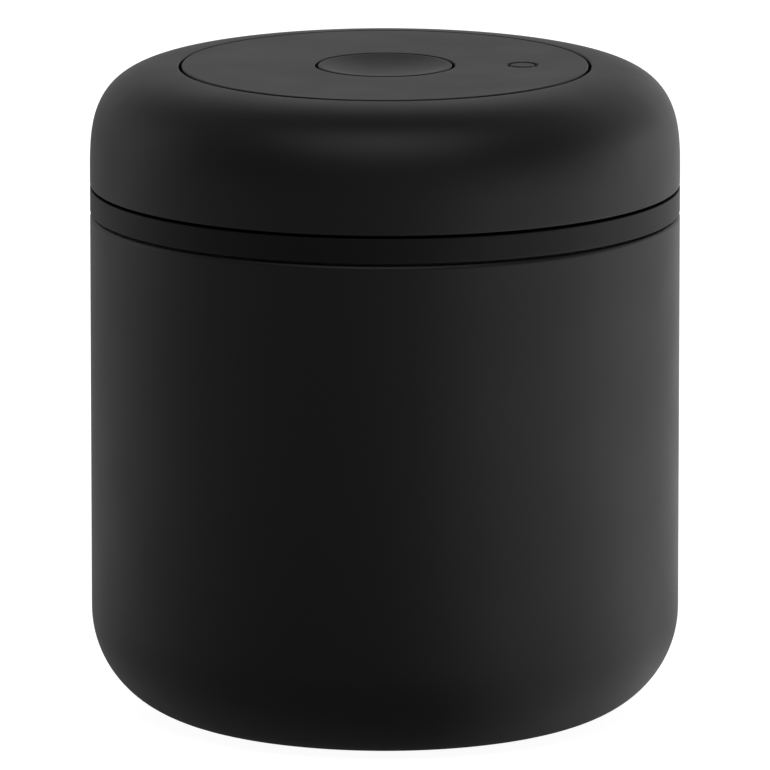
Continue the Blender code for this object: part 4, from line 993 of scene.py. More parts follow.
class CANISTER_OT_lid_base(bpy.types.Operator):
    """Collar, plug, filter recess, valve tube and pump cylinder in one moulding"""

    bl_idname = "canister.lid_base"
    bl_label = "Lid Base"

    def execute(self, context):
        radius, plug_bottom, rib_top = extent("lid_base")
        collar_top = rib_top - COLLAR_RIB_HEIGHT
        collar_bottom = collar_top - COLLAR_HEIGHT
        groove_bottom = collar_bottom - GASKET_GROOVE
        flange = PLUG_RADIUS + PLUG_FLANGE_WIDTH
        flange_bottom = groove_bottom - PLUG_FLANGE_HEIGHT
        skirt = flange - PLUG_TAPER
        floor_top = plug_bottom + TUB_FLOOR
        outline = walls(
            (RIB_OUTER, rib_top, collar_top, EDGE, 0.0),
            (radius, collar_top, collar_bottom, FINE_EDGE, EDGE),
            (PLUG_RADIUS, collar_bottom, groove_bottom, 0.0, EDGE),
            (flange, groove_bottom, flange_bottom, SOFT_EDGE, FIRM_EDGE),
            (skirt, flange_bottom - PLUG_TAPER, plug_bottom, BROAD_EDGE, PLUG_CORNER),
            (RECESS_RADIUS, plug_bottom, PUMP_FLOOR_UNDER, FIRM_EDGE, EDGE),
            (TUBE_BORE, PUMP_FLOOR_UNDER, TUBE_TOP),
            (TUBE_RADIUS, TUBE_TOP, PUMP_FLOOR_TOP, EDGE, FIRM_EDGE),
            (CYLINDER_RADIUS, PUMP_FLOOR_TOP, CYLINDER_TOP, 0.0, SOFT_EDGE),
            (CYLINDER_RADIUS + CYLINDER_WALL, CYLINDER_TOP, PUMP_FLOOR_TOP),
            (RECESS_RADIUS + RECESS_WALL, PUMP_FLOOR_TOP, floor_top, EDGE, SOFT_EDGE),
            (skirt - SKIRT_WALL, floor_top, flange_bottom, BROAD_EDGE, SOFT_EDGE),
            (TUB_RADIUS, groove_bottom, collar_top, SOFT_EDGE, EDGE),
            (RIB_OUTER - COLLAR_RIB_WALL, collar_top, rib_top, 0.0, EDGE),
        )
        bm = turned(outline, OUTER_STEPS)
        bm = combine(bm, self.standing_parts(floor_top - TUB_FLOOR / 2), "UNION")
        bm = combine(bm, self.openings(plug_bottom, collar_top), "DIFFERENCE")
        make_piece("lid_moulding", bm, "lid_base", "black_collar")
        return {"FINISHED"}

    def standing_parts(self, buried):
        """Three screw posts, the indicator's tube and the intake valve's seat."""
        bm = bmesh.new()
        post = solid((POST_RADIUS, POST_TOP, buried, EDGE, 0.0))
        for azimuth in LEG_AZIMUTHS:
            turn(bm, post, SMALL_STEPS, place(LEG_CIRCLE, azimuth))
        step, tube_top = INDICATOR_TUBE_HEIGHTS
        tube = solid(
            (INDICATOR_TUBE, tube_top, step, EDGE, EDGE * 2),
            (INDICATOR_NECK, step, buried, EDGE, 0.0),
        )
        turn(bm, tube, SMALL_STEPS, pin_place())
        seat_under = PUMP_FLOOR_TOP - POCKET_DEPTH - SEAT_THICKNESS
        seat = solid((SEAT_RADIUS, PUMP_FLOOR_TOP - TUB_FLOOR / 2, seat_under, 0.0, EDGE))
        turn(bm, seat, SMALL_STEPS, place(VALVE_CIRCLE, INTAKE_AZIMUTH))
        return bm

    def openings(self, plug_bottom, collar_top):
        """Screw holes, the indicator's bore and port, the intake's ports and the guide grooves."""
        bm = bmesh.new()
        shank, length = DECK_SCREW[2:]
        bottom = POST_TOP - length - OVERRUN
        for azimuth in LEG_AZIMUTHS:
            drill(bm, shank + HOLE_GAP, bottom, POST_TOP, place(LEG_CIRCLE, azimuth), blind=True)
        drill(bm, INDICATOR_BORE, INDICATOR_LEDGE, INDICATOR_TUBE_HEIGHTS[1], pin_place(), blind=True)
        middle = INDICATOR_LEDGE + OVERRUN
        port = [(0.0, middle), (INDICATOR_PORT, middle), *lower_mouth(INDICATOR_PORT, plug_bottom)]
        turn(bm, port, HOLE_STEPS, pin_place())
        centre = place(VALVE_CIRCLE, INTAKE_AZIMUTH)
        pocket_floor = PUMP_FLOOR_TOP - POCKET_DEPTH
        drill(bm, POCKET_RADIUS, pocket_floor, PUMP_FLOOR_TOP, centre, EDGE / 2, blind=True)
        cut_ports(bm, centre, pocket_floor - SEAT_THICKNESS, pocket_floor)
        low_corner = (TUB_RADIUS - OVERRUN, -SLOT_HALF, PIN_LEVEL - SLOT_HALF)
        high_corner = (GUIDE_RADIUS, SLOT_HALF, collar_top + OVERRUN)
        for azimuth in ARM_AZIMUTHS:
            bar(bm, low_corner, high_corner, azimuth)
        return bm


def cut_ports(bm, centre, bottom, top):
    """Cutters for a ring of air ports and the hole of the valve's stem."""
    ends = top + OVERRUN / 2, bottom - OVERRUN, 0.0
    turn(bm, solid((VALVE_STEM + HOLE_GAP, *ends)), HOLE_STEPS, centre)
    for i in range(PORTS):
        across, along = place(PORT_CIRCLE, 2 * math.pi * (i + 0.5) / PORTS)
        turn(bm, solid((PORT_RADIUS, *ends)), WIRE_STEPS, (centre[0] + across, centre[1] + along))


class CANISTER_OT_lid_gasket(bpy.types.Operator):
    """Rubber ring with two soft lips that seal the plug in the can"""

    bl_idname = "canister.lid_gasket"
    bl_label = "Lid Gasket"

    def execute(self, context):
        tip, bottom, top = extent("lid_gasket")
        outer = tip - GASKET_LIP
        inner = outer - GASKET_BAND
        root = context.scene.canister_sizes.lip_height / 2
        outline = [(outer, top, EDGE)]
        for share in LIP_SHARES:
            middle = top - (top - bottom) * share
            outline += [
                (outer, middle + root, EDGE * 2),
                (tip, middle + LIP_TIP / 2, LIP_TIP * FULL_ROUND),
                (tip, middle - LIP_TIP / 2, LIP_TIP * FULL_ROUND),
                (outer, middle - root, EDGE * 2),
            ]
        outline += [(outer, bottom, EDGE), (inner, bottom, EDGE), (inner, top, EDGE)]
        make_piece("gasket", turned(outline, OUTER_STEPS), "lid_gasket", "grey_silicone")
        return {"FINISHED"}


class CANISTER_OT_filter(bpy.types.Operator):
    """Slotted cover under the pump, and the felt pad that lies on it"""

    bl_idname = "canister.filter"
    bl_label = "Filter"

    def execute(self, context):
        slots = context.scene.canister_sizes.filter_slots
        outer, bottom, ring_top = extent("filter_cover")
        top = bottom + COVER_THICKNESS
        ring_inner = outer - COVER_RING_WALL
        filled = (FILTER_SLOT[1] + ring_inner) / 2
        outline = [
            (filled, top),
            *walls((ring_inner, top, ring_top), (outer, ring_top, bottom, EDGE, EDGE * 2)),
            (filled, bottom),
        ]
        bm = bmesh.new()
        turn(bm, outline, INNER_STEPS, closed=False)
        for i in range(slots):
            self.cut_slot(bm, eased(top, bottom, EDGE), 2 * math.pi * (i + 0.5) / slots)
        fill_levels(bm, top, bottom)
        make_piece("slotted_cover", bm, "filter_cover", "dark_moulding")
        pad = band(PAD_INNER, *extent("filter_pad"), EDGE)
        make_piece("felt_pad", turned(pad, INNER_STEPS), "filter_pad", "felt")
        return {"FINISHED"}

    def cut_slot(self, bm, levels, azimuth):
        """Wall of a radial slot with round ends, one loop for each height and widening."""
        inner, outer, half_width = FILTER_SLOT
        matrix = Matrix.Rotation(azimuth, 4, "Z")
        loops = []
        for height, wider in levels:
            points = []
            for end, first in ((outer - half_width, -math.pi / 2), (inner + half_width, math.pi / 2)):
                for i in range(SLOT_END_STEPS + 1):
                    across, along = place(half_width + wider, first + math.pi * i / SLOT_END_STEPS)
                    points.append(matrix @ Vector((end + across, along, height)))
            loops.append(loop_through(bm, points))
        for upper, lower in zip(loops, loops[1:]):
            bmesh.ops.bridge_loops(bm, edges=upper + lower)


def eased(top, bottom, rounding):
    """Heights down a hole's wall and how much wider it is there, for rounded mouths."""
    angles = [math.pi / 2 * i / EDGE_SEGMENTS for i in range(EDGE_SEGMENTS + 1)]
    levels = [(top - rounding * (1 - math.cos(angle)), rounding * (1 - math.sin(angle))) for angle in angles]
    return levels + [(top + bottom - height, wider) for height, wider in reversed(levels)]


class CANISTER_OT_deck(bpy.types.Operator):
    """Deck that holds the cap down, with the button's cup, three legs and the pin's guide"""

    bl_idname = "canister.deck"
    bl_label = "Deck"

    def execute(self, context):
        radius, leg_bottom, top = extent("deck_plate")
        bottom = top - DECK_THICKNESS
        cup_outer = CUP_RADIUS + CUP_WALL
        outline = walls(
            (radius, top, bottom),
            (cup_outer, bottom, CUP_FLOOR_UNDER, EDGE * 2),
            (STEM_HOLE, CUP_FLOOR_UNDER, CUP_FLOOR_TOP),
            (CUP_RADIUS, CUP_FLOOR_TOP, top, EDGE * 2, EDGE),
        )
        legs, openings = bmesh.new(), bmesh.new()
        shank = DECK_SCREW[2]
        leg = solid((LEG_RADIUS, top - DECK_THICKNESS / 2, leg_bottom, 0.0, EDGE))
        for azimuth in LEG_AZIMUTHS:
            centre = place(LEG_CIRCLE, azimuth)
            turn(legs, leg, SMALL_STEPS, centre)
            drill(openings, LEG_BORE, LEG_FLOOR, top, centre, steps=SMALL_STEPS, blind=True)
            drill(openings, shank + HOLE_GAP, leg_bottom, LEG_FLOOR + EDGE, centre, EDGE / 2)
        drill(openings, PIN_GUIDE, bottom, top, pin_place())
        half = HOOK_WIDTH / 2 + RUNNING_GAP
        low_corner = (HOOK_CIRCLE - RUNNING_GAP, -half, bottom - OVERRUN)
        high_corner = (HOOK_CIRCLE + HOOK_THICKNESS + RUNNING_GAP, half, top + OVERRUN)
        for azimuth in ARM_AZIMUTHS:
            bar(openings, low_corner, high_corner, azimuth)
        bm = combine(turned(outline, INNER_STEPS), legs, "UNION")
        bm = combine(bm, openings, "DIFFERENCE")
        make_piece("deck", bm, "deck_plate", "dark_moulding")
        return {"FINISHED"}


class CANISTER_OT_twist_cap(bpy.types.Operator):
    """Rounded cap ring, open in the middle, with the ledge that holds it under the deck"""

    bl_idname = "canister.twist_cap"
    bl_label = "Twist Cap"

    def execute(self, context):
        sizes = context.scene.canister_sizes
        radius, bottom, _ = extent("twist_cap")
        throat = extent("top_disc")[0] + sizes.disc_seam
        outer = self.shoulder(sizes, throat, 0.0)
        inner = self.shoulder(sizes, throat + THROAT_WALL, CAP_WALL)
        ledge, ledge_under = throat - LEDGE_WIDTH, LEDGE_TOP - LEDGE_THICKNESS
        outline = [
            (throat, outer[0][1], FIRM_EDGE),
            *(point for point in outer if point[0] > throat + THROAT_LIP),
            (radius, bottom, CAP_EDGE),
            (radius - CAP_WALL, bottom, EDGE),
            *reversed(inner),
            (throat + THROAT_WALL, ledge_under),
            *walls((ledge, ledge_under, LEDGE_TOP, FIRM_EDGE)),
            (throat, LEDGE_TOP, EDGE),
        ]
        bosses, holes = bmesh.new(), bmesh.new()
        boss_top = next(height for across, height in inner if across > CAP_SCREW_CIRCLE - BOSS_RADIUS)
        shank, length = CAP_SCREW[2:]
        hole_radius, hole_top = shank + HOLE_GAP, CAP_SCREW_SEAT + length + OVERRUN / 2
        boss = solid((BOSS_RADIUS, boss_top, BOSS_BOTTOM, 0.0, EDGE))
        hole = [(0.0, hole_top), (hole_radius, hole_top, EDGE), *lower_mouth(hole_radius, BOSS_BOTTOM)]
        for azimuth in CAP_SCREW_AZIMUTHS:
            centre = place(CAP_SCREW_CIRCLE, azimuth)
            turn(bosses, boss, HOLE_STEPS, centre)
            turn(holes, hole, HOLE_STEPS, centre)
        bm = combine(turned(outline, OUTER_STEPS), bosses, "UNION")
        bm = combine(bm, holes, "DIFFERENCE")
        make_piece("cap_ring", bm, "twist_cap", "black_lid")
        return {"FINISHED"}

    def shoulder(self, sizes, start_radius, inset):
        """Points down the cap's shoulder, a rounded square in section, inset by a wall."""
        radius, bottom, top = extent("twist_cap")
        centre = extent("top_disc")[0] + sizes.disc_seam / 2 - SHOULDER_FLAT
        base = bottom + CAP_SIDE
        width = radius - centre - inset
        height = top - base - inset
        power = 2 / sizes.shoulder_power
        first = math.acos(((start_radius - centre) / width) ** (1 / power))
        angles = [first * (1 - i / SHOULDER_STEPS) for i in range(SHOULDER_STEPS + 1)]
        return [
            (centre + width * math.cos(angle) ** power, base + height * math.sin(angle) ** power)
            for angle in angles
        ]


class CANISTER_OT_cam_sleeve(bpy.types.Operator):
    """Sleeve with three spiral slots and a flange that is screwed to the cap"""

    bl_idname = "canister.cam_sleeve"
    bl_label = "Cam Sleeve"

    def execute(self, context):
        _, bottom, top = extent("cam_sleeve")
        outline = walls(
            (SLEEVE_OUTER, top, FLANGE_TOP),
            (SLEEVE_FLANGE, FLANGE_TOP, FLANGE_BOTTOM),
            (SLEEVE_OUTER, FLANGE_BOTTOM, bottom, EDGE, EDGE * 2),
            (SLEEVE_INNER, bottom, top, EDGE * 2, EDGE),
        )
        openings = bmesh.new()
        for azimuth in ARM_AZIMUTHS:
            self.cut_cam(openings, azimuth)
        head, shank = CAP_SCREW[0] + HOLE_GAP, CAP_SCREW[2] + HOLE_GAP
        above, seat, below = FLANGE_TOP + OVERRUN / 2, CAP_SCREW_SEAT + SEAT_GAP, FLANGE_BOTTOM - OVERRUN
        stepped = solid((shank, above, seat, 0.0), (head, seat, below, 0.0))
        for azimuth in CAP_SCREW_AZIMUTHS:
            turn(openings, stepped, HOLE_STEPS, place(CAP_SCREW_CIRCLE, azimuth))
        bm = combine(turned(outline, INNER_STEPS), openings, "DIFFERENCE")
        tidy(bm)
        bmesh.ops.connect_verts_nonplanar(bm, angle_limit=FLAT_ANGLE, faces=bm.faces)
        make_piece("sleeve", bm, "cam_sleeve", "white_sliding_plastic")
        return {"FINISHED"}

    def cut_cam(self, bm, azimuth):
        """Cutter for one cam slot: a band with round ends that climbs by the stroke."""
        mean = (SLEEVE_INNER + SLEEVE_OUTER) / 2
        length = mean * TWIST
        angles = [math.pi / 2 * i / CAM_END_STEPS for i in range(1, CAM_END_STEPS)]
        ends = [SLOT_HALF * CAM_END_SHARE] + [SLOT_HALF * math.cos(angle) for angle in angles]
        stations = [-reach for reach in ends]
        stations += [length * i / CAM_STEPS for i in range(CAM_STEPS + 1)]
        stations += [length + reach for reach in reversed(ends)]
        near, far = SLEEVE_INNER - OVERRUN, SLEEVE_OUTER + OVERRUN
        sections = []
        for along in stations:
            half = math.sqrt(SLOT_HALF**2 - max(-along, along - length, 0.0) ** 2)
            height = PIN_LEVEL + STROKE * along / length
            corners = ((near, -half), (far, -half), (far, half), (near, half))
            places = [(*place(radius, azimuth - along / mean), height + rise) for radius, rise in corners]
            sections.append([bm.verts.new(point) for point in places])
        for first, second in zip(sections, sections[1:]):
            for i in range(4):
                j = (i + 1) % 4
                bm.faces.new((first[i], first[j], second[j], second[i]))
        bm.faces.new(sections[0])
        bm.faces.new(sections[-1])


class CANISTER_OT_glide_ring(bpy.types.Operator):
    """Thin slip ring that the sleeve's flange turns on"""

    bl_idname = "canister.glide_ring"
    bl_label = "Glide Ring"

    def execute(self, context):
        outer, bottom, top = extent("glide_ring")
        rounding = (top - bottom) * SLIP_ROUNDING
        ring = band(TUB_RADIUS + RUNNING_GAP, outer, bottom, top, rounding)
        make_piece("slip_ring", turned(ring, INNER_STEPS), "glide_ring", "white_sliding_plastic")
        return {"FINISHED"}


class CANISTER_OT_piston(bpy.types.Operator):
    """Ring-shaped piston with its grooves, hub and three ribbed arms"""

    bl_idname = "canister.piston"
    bl_label = "Piston"

    def execute(self, context):
        groove_low, groove_high = PISTON_GROOVE
        groove = PISTON_RADIUS - GROOVE_DEPTH
        inner_groove = HUB_INNER + GROOVE_DEPTH
        outline = walls(
            (HUB_OUTER, ARM_TOP, PISTON_TOP, EDGE, EDGE * 2),
            (PISTON_RADIUS, PISTON_TOP, groove_high, EDGE, EDGE / 3),
            (groove, groove_high, groove_low, 0.0),
            (PISTON_RADIUS, groove_low, PISTON_BOTTOM, EDGE / 3, EDGE),
            (HUB_INNER, PISTON_BOTTOM, groove_low, EDGE, EDGE / 3),
            (inner_groove, groove_low, groove_high, 0.0),
            (HUB_INNER, groove_high, ARM_TOP, EDGE / 3, EDGE),
        )
        arms, openings = bmesh.new(), bmesh.new()
        root = (HUB_INNER + HUB_OUTER) / 2
        half, inside = ARM_WIDTH / 2, ARM_WIDTH / 2 - ARM_RIB
        shank_end = ARM_REACH - SHANK_LENGTH - SEAT_GAP
        socket = solid((SHANK_RADIUS + HOLE_GAP, ARM_REACH + OVERRUN, shank_end, 0.0))
        for azimuth in ARM_AZIMUTHS:
            bar(arms, (root, -half, ARM_BOTTOM), (ARM_REACH, half, ARM_TOP), azimuth, EDGE)
            low_corner = (HUB_OUTER + ARM_RIB, -inside, ARM_TOP - TROUGH_DEPTH)
            high_corner = (ARM_REACH - SOCKET_LENGTH, inside, ARM_TOP + 2 * OVERRUN)
            bar(openings, low_corner, high_corner, azimuth, EDGE * 2)
            lay_down(openings, socket, HOLE_STEPS, azimuth)
        centre = place(VALVE_CIRCLE, EXHAUST_AZIMUTH)
        cut_ports(openings, centre, PISTON_BOTTOM, PISTON_TOP)
        bulb = solid((VALVE_BULB + 2 * HOLE_GAP, PISTON_BOTTOM + BULB_POCKET, PISTON_BOTTOM - OVERRUN, 0.0))
        turn(openings, bulb, HOLE_STEPS, centre)
        bm = combine(turned(outline, INNER_STEPS), arms, "UNION")
        bm = combine(bm, openings, "DIFFERENCE")
        make_piece("piston", bm, "pump_piston", "white_sliding_plastic")
        return {"FINISHED"}


def lay_down(bm, outline, steps, azimuth):
    """Turn an outline of radii and distances along an arm, then lay it along that arm."""
    before = set(bm.verts)
    turn(bm, outline, steps)
    made = [vert for vert in bm.verts if vert not in before]
    matrix = Matrix.Translation((0.0, 0.0, PIN_LEVEL)) @ Matrix.Rotation(azimuth, 4, "Z")
    bmesh.ops.transform(bm, matrix=matrix @ Matrix.Rotation(math.pi / 2, 4, "Y"), verts=made)


class CANISTER_OT_follower_pins(bpy.types.Operator):
    """Three stepped pins that run in the spiral slots and the upright grooves"""

    bl_idname = "canister.follower_pins"
    bl_label = "Follower Pins"

    def execute(self, context):
        head_start, shank_end = ARM_REACH + SEAT_GAP, ARM_REACH - SHANK_LENGTH
        outline = solid(
            (FOLLOWER_RADIUS, FOLLOWER_TIP, head_start, EDGE * 1.5, EDGE),
            (SHANK_RADIUS, head_start, shank_end, 0.0, EDGE),
        )
        for i, azimuth in enumerate(ARM_AZIMUTHS, 1):
            bm = bmesh.new()
            lay_down(bm, outline, SMALL_STEPS, azimuth)
            make_piece(f"cam_pin_{i}", bm, f"follower_pin_{i}", "turned_steel")
        return {"FINISHED"}


class CANISTER_OT_seals(bpy.types.Operator):
    """Round-section rings of the piston, the valve tube and the indicator"""

    bl_idname = "canister.seals"
    bl_label = "Seals"

    def execute(self, context):
        piston = PISTON_RADIUS - GROOVE_DEPTH + SEAT_GAP, CYLINDER_RADIUS - SEAL_GAP
        tube = TUBE_RADIUS + SEAL_GAP, HUB_INNER + GROOVE_DEPTH - SEAT_GAP
        pin = PIN_GROOVE + SEAT_GAP / 2, (PIN_HEAD + INDICATOR_BORE) / 2
        for name, node, (inner, outer), centre in (
            ("piston_ring", "piston_seal", piston, (0.0, 0.0)),
            ("tube_ring", "tube_seal", tube, (0.0, 0.0)),
            ("pin_ring", "indicator_seal", pin, pin_place()),
        ):
            _, bottom, top = extent(node)
            rounding = FULL_ROUND * min(outer - inner, top - bottom)
            bm = turned(band(inner, outer, bottom, top, rounding), INNER_STEPS, centre)
            make_piece(name, bm, node, "grey_silicone")
        return {"FINISHED"}


class CANISTER_OT_valves(bpy.types.Operator):
    """Umbrella valves of the intake and the exhaust"""

    bl_idname = "canister.valves"
    bl_label = "Umbrella Valves"

    def execute(self, context):
        for name, azimuth in (("intake", INTAKE_AZIMUTH), ("exhaust", EXHAUST_AZIMUTH)):
            node = f"{name}_valve"
            _, tip, top = extent(node)
            seat, bulb_top = top - VALVE_THICKNESS, tip + BULB_HEIGHT
            outline = [
                (0.0, top),
                (VALVE_CROWN, top, EDGE * 3),
                (VALVE_RADIUS, top - VALVE_THICKNESS / 2, EDGE / 2),
                (VALVE_RADIUS, seat, EDGE / 2),
                (VALVE_STEM, seat, EDGE),
                (VALVE_STEM, bulb_top, EDGE / 3),
                (VALVE_BULB, bulb_top, EDGE / 2),
                (VALVE_STEM, tip, EDGE / 2),
                (0.0, tip),
            ]
            bm = turned(outline, SMALL_STEPS, place(VALVE_CIRCLE, azimuth))
            make_piece(f"{name}_umbrella", bm, node, "grey_silicone")
        return {"FINISHED"}


class CANISTER_OT_top_disc(bpy.types.Operator):
    """Plain disc with the button's opening, the pin's hole and three snap hooks below"""

    bl_idname = "canister.top_disc"
    bl_label = "Top Disc"

    def execute(self, context):
        radius, _, top = extent("top_disc")
        bottom = top - DISC_THICKNESS
        bm = bmesh.new()
        for edge, outward, rounding, steps, centre in (
            (radius, -OVERRUN, EDGE, OUTER_STEPS, (0.0, 0.0)),
            (BUTTON_HOLE, OVERRUN, EDGE, INNER_STEPS, (0.0, 0.0)),
            (PIN_HOLE, OVERRUN, EDGE * 1.5, SMALL_STEPS, pin_place()),
        ):
            outline = [
                (edge + outward, top),
                (edge, top, rounding),
                (edge, bottom, rounding / 2),
                (edge + outward, bottom),
            ]
            turn(bm, outline, steps, centre, closed=False)
        fill_levels(bm, top, bottom)
        hooks = bmesh.new()
        for azimuth in ARM_AZIMUTHS:
            self.add_hook(hooks, (top + bottom) / 2, azimuth)
        make_piece("disc", combine(bm, hooks, "UNION"), "top_disc", "black_lid")
        return {"FINISHED"}

    def add_hook(self, bm, top, azimuth):
        """A snap hook: an outline in the radial plane, extruded to its width."""
        outline = [
            (0.0, top, 0.0),
            (0.0, HOOK_TIP, EDGE),
            (HOOK_THICKNESS / 2, HOOK_TIP, EDGE),
            (HOOK_THICKNESS + HOOK_BARB, HOOK_CATCH, EDGE / 2),
            (HOOK_THICKNESS, HOOK_CATCH, 0.0),
            (HOOK_THICKNESS, top, 0.0),
        ]
        before = set(bm.verts)
        points = [(HOOK_CIRCLE + across, -HOOK_WIDTH / 2, height) for across, height, _ in outline]
        wire = draw(bm, points, [rounding for _, _, rounding in outline], True)
        edges = [part for part in wire if isinstance(part, bmesh.types.BMEdge)]
        face = bmesh.ops.contextual_create(bm, geom=edges)["faces"][0]
        side = bmesh.ops.extrude_face_region(bm, geom=[face])["geom"]
        moved = [part for part in side if isinstance(part, bmesh.types.BMVert)]
        bmesh.ops.translate(bm, vec=(0.0, HOOK_WIDTH, 0.0), verts=moved)
        made = [vert for vert in bm.verts if vert not in before]
        bmesh.ops.transform(bm, matrix=Matrix.Rotation(azimuth, 4, "Z"), verts=made)


class CANISTER_OT_release_button(bpy.types.Operator):
    """Dished button with the flange that keeps it in the disc"""

    bl_idname = "canister.release_button"
    bl_label = "Release Button"

    def execute(self, context):
        flange, boss_bottom, top = extent("release_button")
        flange_top = top - DISC_THICKNESS - SEAT_GAP
        flange_bottom = flange_top - BUTTON_FLANGE
        dish_radius = BUTTON_RADIUS - BUTTON_RIM
        depth = context.scene.canister_sizes.button_dish
        sphere = (dish_radius**2 + depth**2) / (2 * depth)
        radii = [dish_radius * i / DISH_STEPS for i in range(DISH_STEPS + 1)]
        dish = [(radius, top - depth + sphere - math.sqrt(sphere**2 - radius**2)) for radius in radii]
        shell = [
            (radius, height - BUTTON_SHELL)
            for radius, height in reversed(dish)
            if BUTTON_BOSS < radius < dish_radius - EDGE * 4
        ]
        outline = [
            *dish[:-1],
            (dish_radius, top, EDGE / 2),
            *walls((BUTTON_RADIUS, top, flange_top, EDGE, 0.0), (flange, flange_top, flange_bottom)),
            (dish_radius - EDGE * 3, flange_bottom, EDGE),
            *shell,
            *walls((BUTTON_BOSS, shell[-1][1], boss_bottom, 0.0, EDGE)),
            *walls((STEM_SOCKET, boss_bottom, boss_bottom + SOCKET_DEPTH)),
            (0.0, boss_bottom + SOCKET_DEPTH),
        ]
        make_piece("button", turned(outline, INNER_STEPS), "release_button", "black_lid")
        return {"FINISHED"}


class CANISTER_OT_release_valve(bpy.types.Operator):
    """Steel stem with its poppet, and the washer that it pulls against the pump's floor"""

    bl_idname = "canister.release_valve"
    bl_label = "Release Valve"

    def execute(self, context):
        poppet, bottom, top = extent("valve_stem")
        poppet_top = bottom + POPPET_THICKNESS
        outline = solid(
            (STEM_RADIUS, top, poppet_top, EDGE * 1.5, EDGE),
            (poppet, poppet_top, bottom, EDGE, EDGE * 1.5),
        )
        make_piece("stem", turned(outline, SMALL_STEPS), "valve_stem", "turned_steel")
        washer = band(STEM_RADIUS + HOLE_GAP, *extent("valve_washer"), EDGE * 0.8)
        make_piece("washer", turned(washer, SMALL_STEPS), "valve_washer", "grey_silicone")
        return {"FINISHED"}


class CANISTER_OT_indicator_pin(bpy.types.Operator):
    """Small round pin in the disc that drops under vacuum"""

    bl_idname = "canister.indicator_pin"
    bl_label = "Indicator Pin"

    def execute(self, context):
        _, bottom, top = extent("indicator_pin")
        collar_bottom, collar_top = PIN_COLLAR_HEIGHTS
        groove_bottom, groove_top = PIN_GROOVE_HEIGHTS
        outline = solid(
            (PIN_RADIUS, top, collar_top, EDGE * 1.7, 0.0),
            (PIN_COLLAR, collar_top, collar_bottom),
            (PIN_ROD, collar_bottom, PIN_HEAD_TOP),
            (PIN_HEAD, PIN_HEAD_TOP, groove_top, EDGE, EDGE / 3),
            (PIN_GROOVE, groove_top, groove_bottom, 0.0),
            (PIN_HEAD, groove_bottom, bottom, EDGE / 3, EDGE),
        )
        make_piece("pin", turned(outline, SMALL_STEPS, pin_place()), "indicator_pin", "black_lid")
        return {"FINISHED"}


class CANISTER_OT_screws(bpy.types.Operator):
    """Cross-head screws of the deck and of the cap"""

    bl_idname = "canister.screws"
    bl_label = "Screws"

    def execute(self, context):
        pitch = context.scene.canister_sizes.thread_pitch
        upside_down = Matrix.Rotation(math.pi, 4, "X")
        deck = LEG_AZIMUTHS, LEG_CIRCLE, DECK_SCREW_SEAT, DECK_SCREW, Matrix()
        cap = CAP_SCREW_AZIMUTHS, CAP_SCREW_CIRCLE, CAP_SCREW_SEAT, CAP_SCREW, upside_down
        for name, node, (azimuths, circle, level, measures, tip) in (
            ("leg_screw", "deck_screw", deck),
            ("flange_screw", "cap_screw", cap),
        ):
            for i, azimuth in enumerate(azimuths, 1):
                seat = Matrix.Translation((*place(circle, azimuth), level)) @ tip
                bm = self.screw(measures, pitch)
                bmesh.ops.transform(bm, matrix=seat @ Matrix.Rotation(azimuth, 4, "Z"), verts=bm.verts)
                make_piece(f"{name}_{i}", bm, f"{node}_{i}", "turned_steel")
        return {"FINISHED"}

    def screw(self, measures, pitch):
        """A screw with thread rings that stands on its seat, with its shank below."""
        head, height, shank, length = measures
        tip = shank - length
        outline = [
            (head * (1 + CROSS_REACH) / 2, height),
            (head, height, EDGE * 2),
            (head, 0.0, EDGE / 2),
            (shank, 0.0),
            (shank, -pitch),
        ]
        level = -pitch
        while level - pitch > tip:
            outline += [(shank - THREAD_DEPTH, level - pitch * share) for share in THREAD_ROOT]
            level -= pitch
            outline.append((shank, level))
        outline += [(shank, tip), (0.0, -length)]
        bm = turned(outline, SMALL_STEPS)
        self.add_cross(bm, head, height)
        fill_levels(bm, height, height * (1 - CROSS_DEPTH))
        return bm

    def add_cross(self, bm, head, height):
        """Walls of the cross recess, which narrows towards its floor."""
        wide, far = head * CROSS_HALF_WIDTH, head * CROSS_REACH
        loops = []
        for level, share in ((height, 1.0), (height * (1 - CROSS_DEPTH), CROSS_TAPER)):
            points = []
            for quarter in range(4):
                matrix = Matrix.Rotation(math.pi / 2 * quarter, 3, "Z")
                corners = ((far * share, -wide), (far * share, wide), (wide, wide))
                points += [matrix @ Vector((*corner, level)) for corner in corners]
            loops += loop_through(bm, points)
        bmesh.ops.bridge_loops(bm, edges=loops)


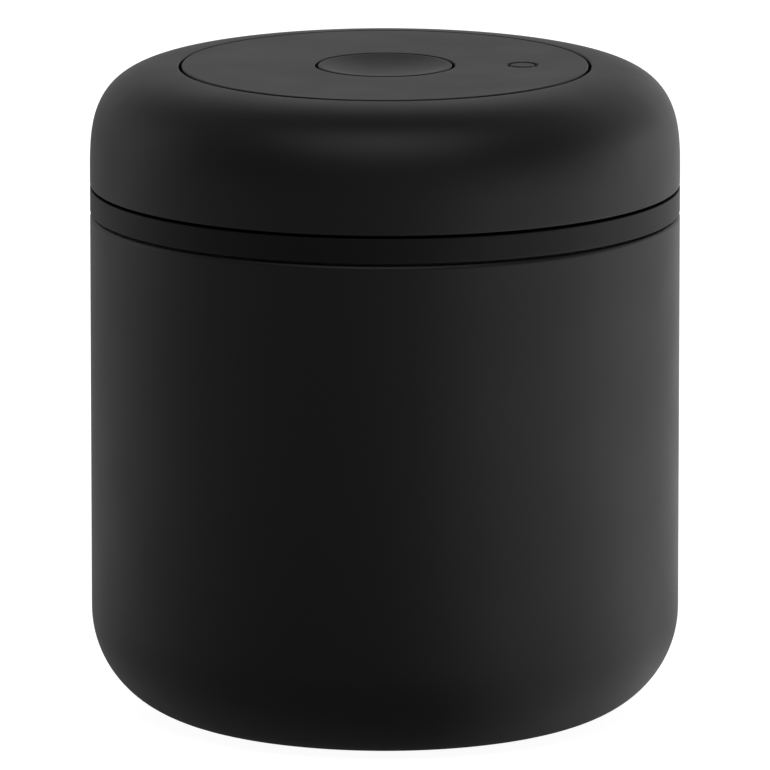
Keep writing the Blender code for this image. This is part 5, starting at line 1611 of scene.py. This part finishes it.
class CANISTER_OT_springs(bpy.types.Operator):
    """Springs of the button and of the indicator, each with a mesh of its own"""

    bl_idname = "canister.springs"
    bl_label = "Springs"

    def execute(self, context):
        turns = context.scene.canister_sizes.coil_turns
        for name, node, measures, centre, joint in (
            ("button_coil", "button_spring", BUTTON_COIL, (0.0, 0.0), "button_press"),
            ("pin_coil", "indicator_spring", PIN_COIL, pin_place(), "indicator_drop"),
        ):
            spring = make_piece(name, self.wind(measures, centre, turns), node, "turned_steel")
            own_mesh(spring)
        return {"FINISHED"}

    def wind(self, measures, centre, live_turns):
        """A round wire wound upwards, with its end turns lying nearly flat."""
        radius, wire, bottom, top = measures
        bm = bmesh.new()
        start = Matrix.Translation((centre[0] + radius, centre[1], bottom + wire))
        start = start @ Matrix.Rotation(math.pi / 2, 4, "X")
        made = bmesh.ops.create_circle(bm, cap_ends=True, segments=WIRE_STEPS, radius=wire, matrix=start)
        geometry = [*bm.faces, *bm.edges, *made["verts"]]
        dead_rise = 2 * wire * DEAD_TURNS
        live_rise = top - bottom - 2 * wire - 2 * dead_rise
        dead, live = (DEAD_TURNS, dead_rise), (live_turns, live_rise)
        for turns, rise in (dead, live, dead):
            steps = round(turns * COIL_STEPS)
            geometry = bmesh.ops.spin(
                bm,
                geom=geometry,
                cent=(*centre, 0.0),
                axis=UPRIGHT,
                dvec=(0.0, 0.0, rise / steps),
                angle=2 * math.pi * turns,
                steps=steps,
            )["geom_last"]
        return bm


class CANISTER_PT_builder(bpy.types.Panel):
    bl_label = "Vacuum Canister"
    bl_idname = "CANISTER_PT_builder"
    bl_space_type = "VIEW_3D"
    bl_region_type = "UI"
    bl_category = "Canister"

    def draw(self, context):
        layout = self.layout
        for key in GROUPS:
            group = getattr(context.scene, key)
            box = layout.box()
            for setting in group.bl_rna.properties.keys():
                if setting not in {"rna_type", "name"}:
                    box.prop(group, setting)
        for operator in OPERATORS:
            layout.operator(operator.bl_idname)


GROUPS = {
    "canister_sizes": CanisterSizes,
    "canister_finishes": CanisterFinishes,
    "canister_studio": CanisterStudio,
}
OPERATORS = (
    CANISTER_OT_studio,
    CANISTER_OT_steel_can,
    CANISTER_OT_lid_base,
    CANISTER_OT_lid_gasket,
    CANISTER_OT_filter,
    CANISTER_OT_deck,
    CANISTER_OT_top_disc,
    CANISTER_OT_twist_cap,
    CANISTER_OT_cam_sleeve,
    CANISTER_OT_glide_ring,
    CANISTER_OT_piston,
    CANISTER_OT_follower_pins,
    CANISTER_OT_seals,
    CANISTER_OT_valves,
    CANISTER_OT_release_button,
    CANISTER_OT_release_valve,
    CANISTER_OT_indicator_pin,
    CANISTER_OT_screws,
    CANISTER_OT_springs,
)
CLASSES = (*GROUPS.values(), *OPERATORS, CANISTER_PT_builder)


def register():
    for item in CLASSES:
        bpy.utils.register_class(item)
    for key, group in GROUPS.items():
        setattr(bpy.types.Scene, key, bpy.props.PointerProperty(type=group))


def unregister():
    for key in GROUPS:
        delattr(bpy.types.Scene, key)
    for item in reversed(CLASSES):
        bpy.utils.unregister_class(item)


def main():
    register()
    for operator in OPERATORS:
        group, name = operator.bl_idname.split(".")
        getattr(getattr(bpy.ops, group), name)()


if __name__ == "__main__":
    main()
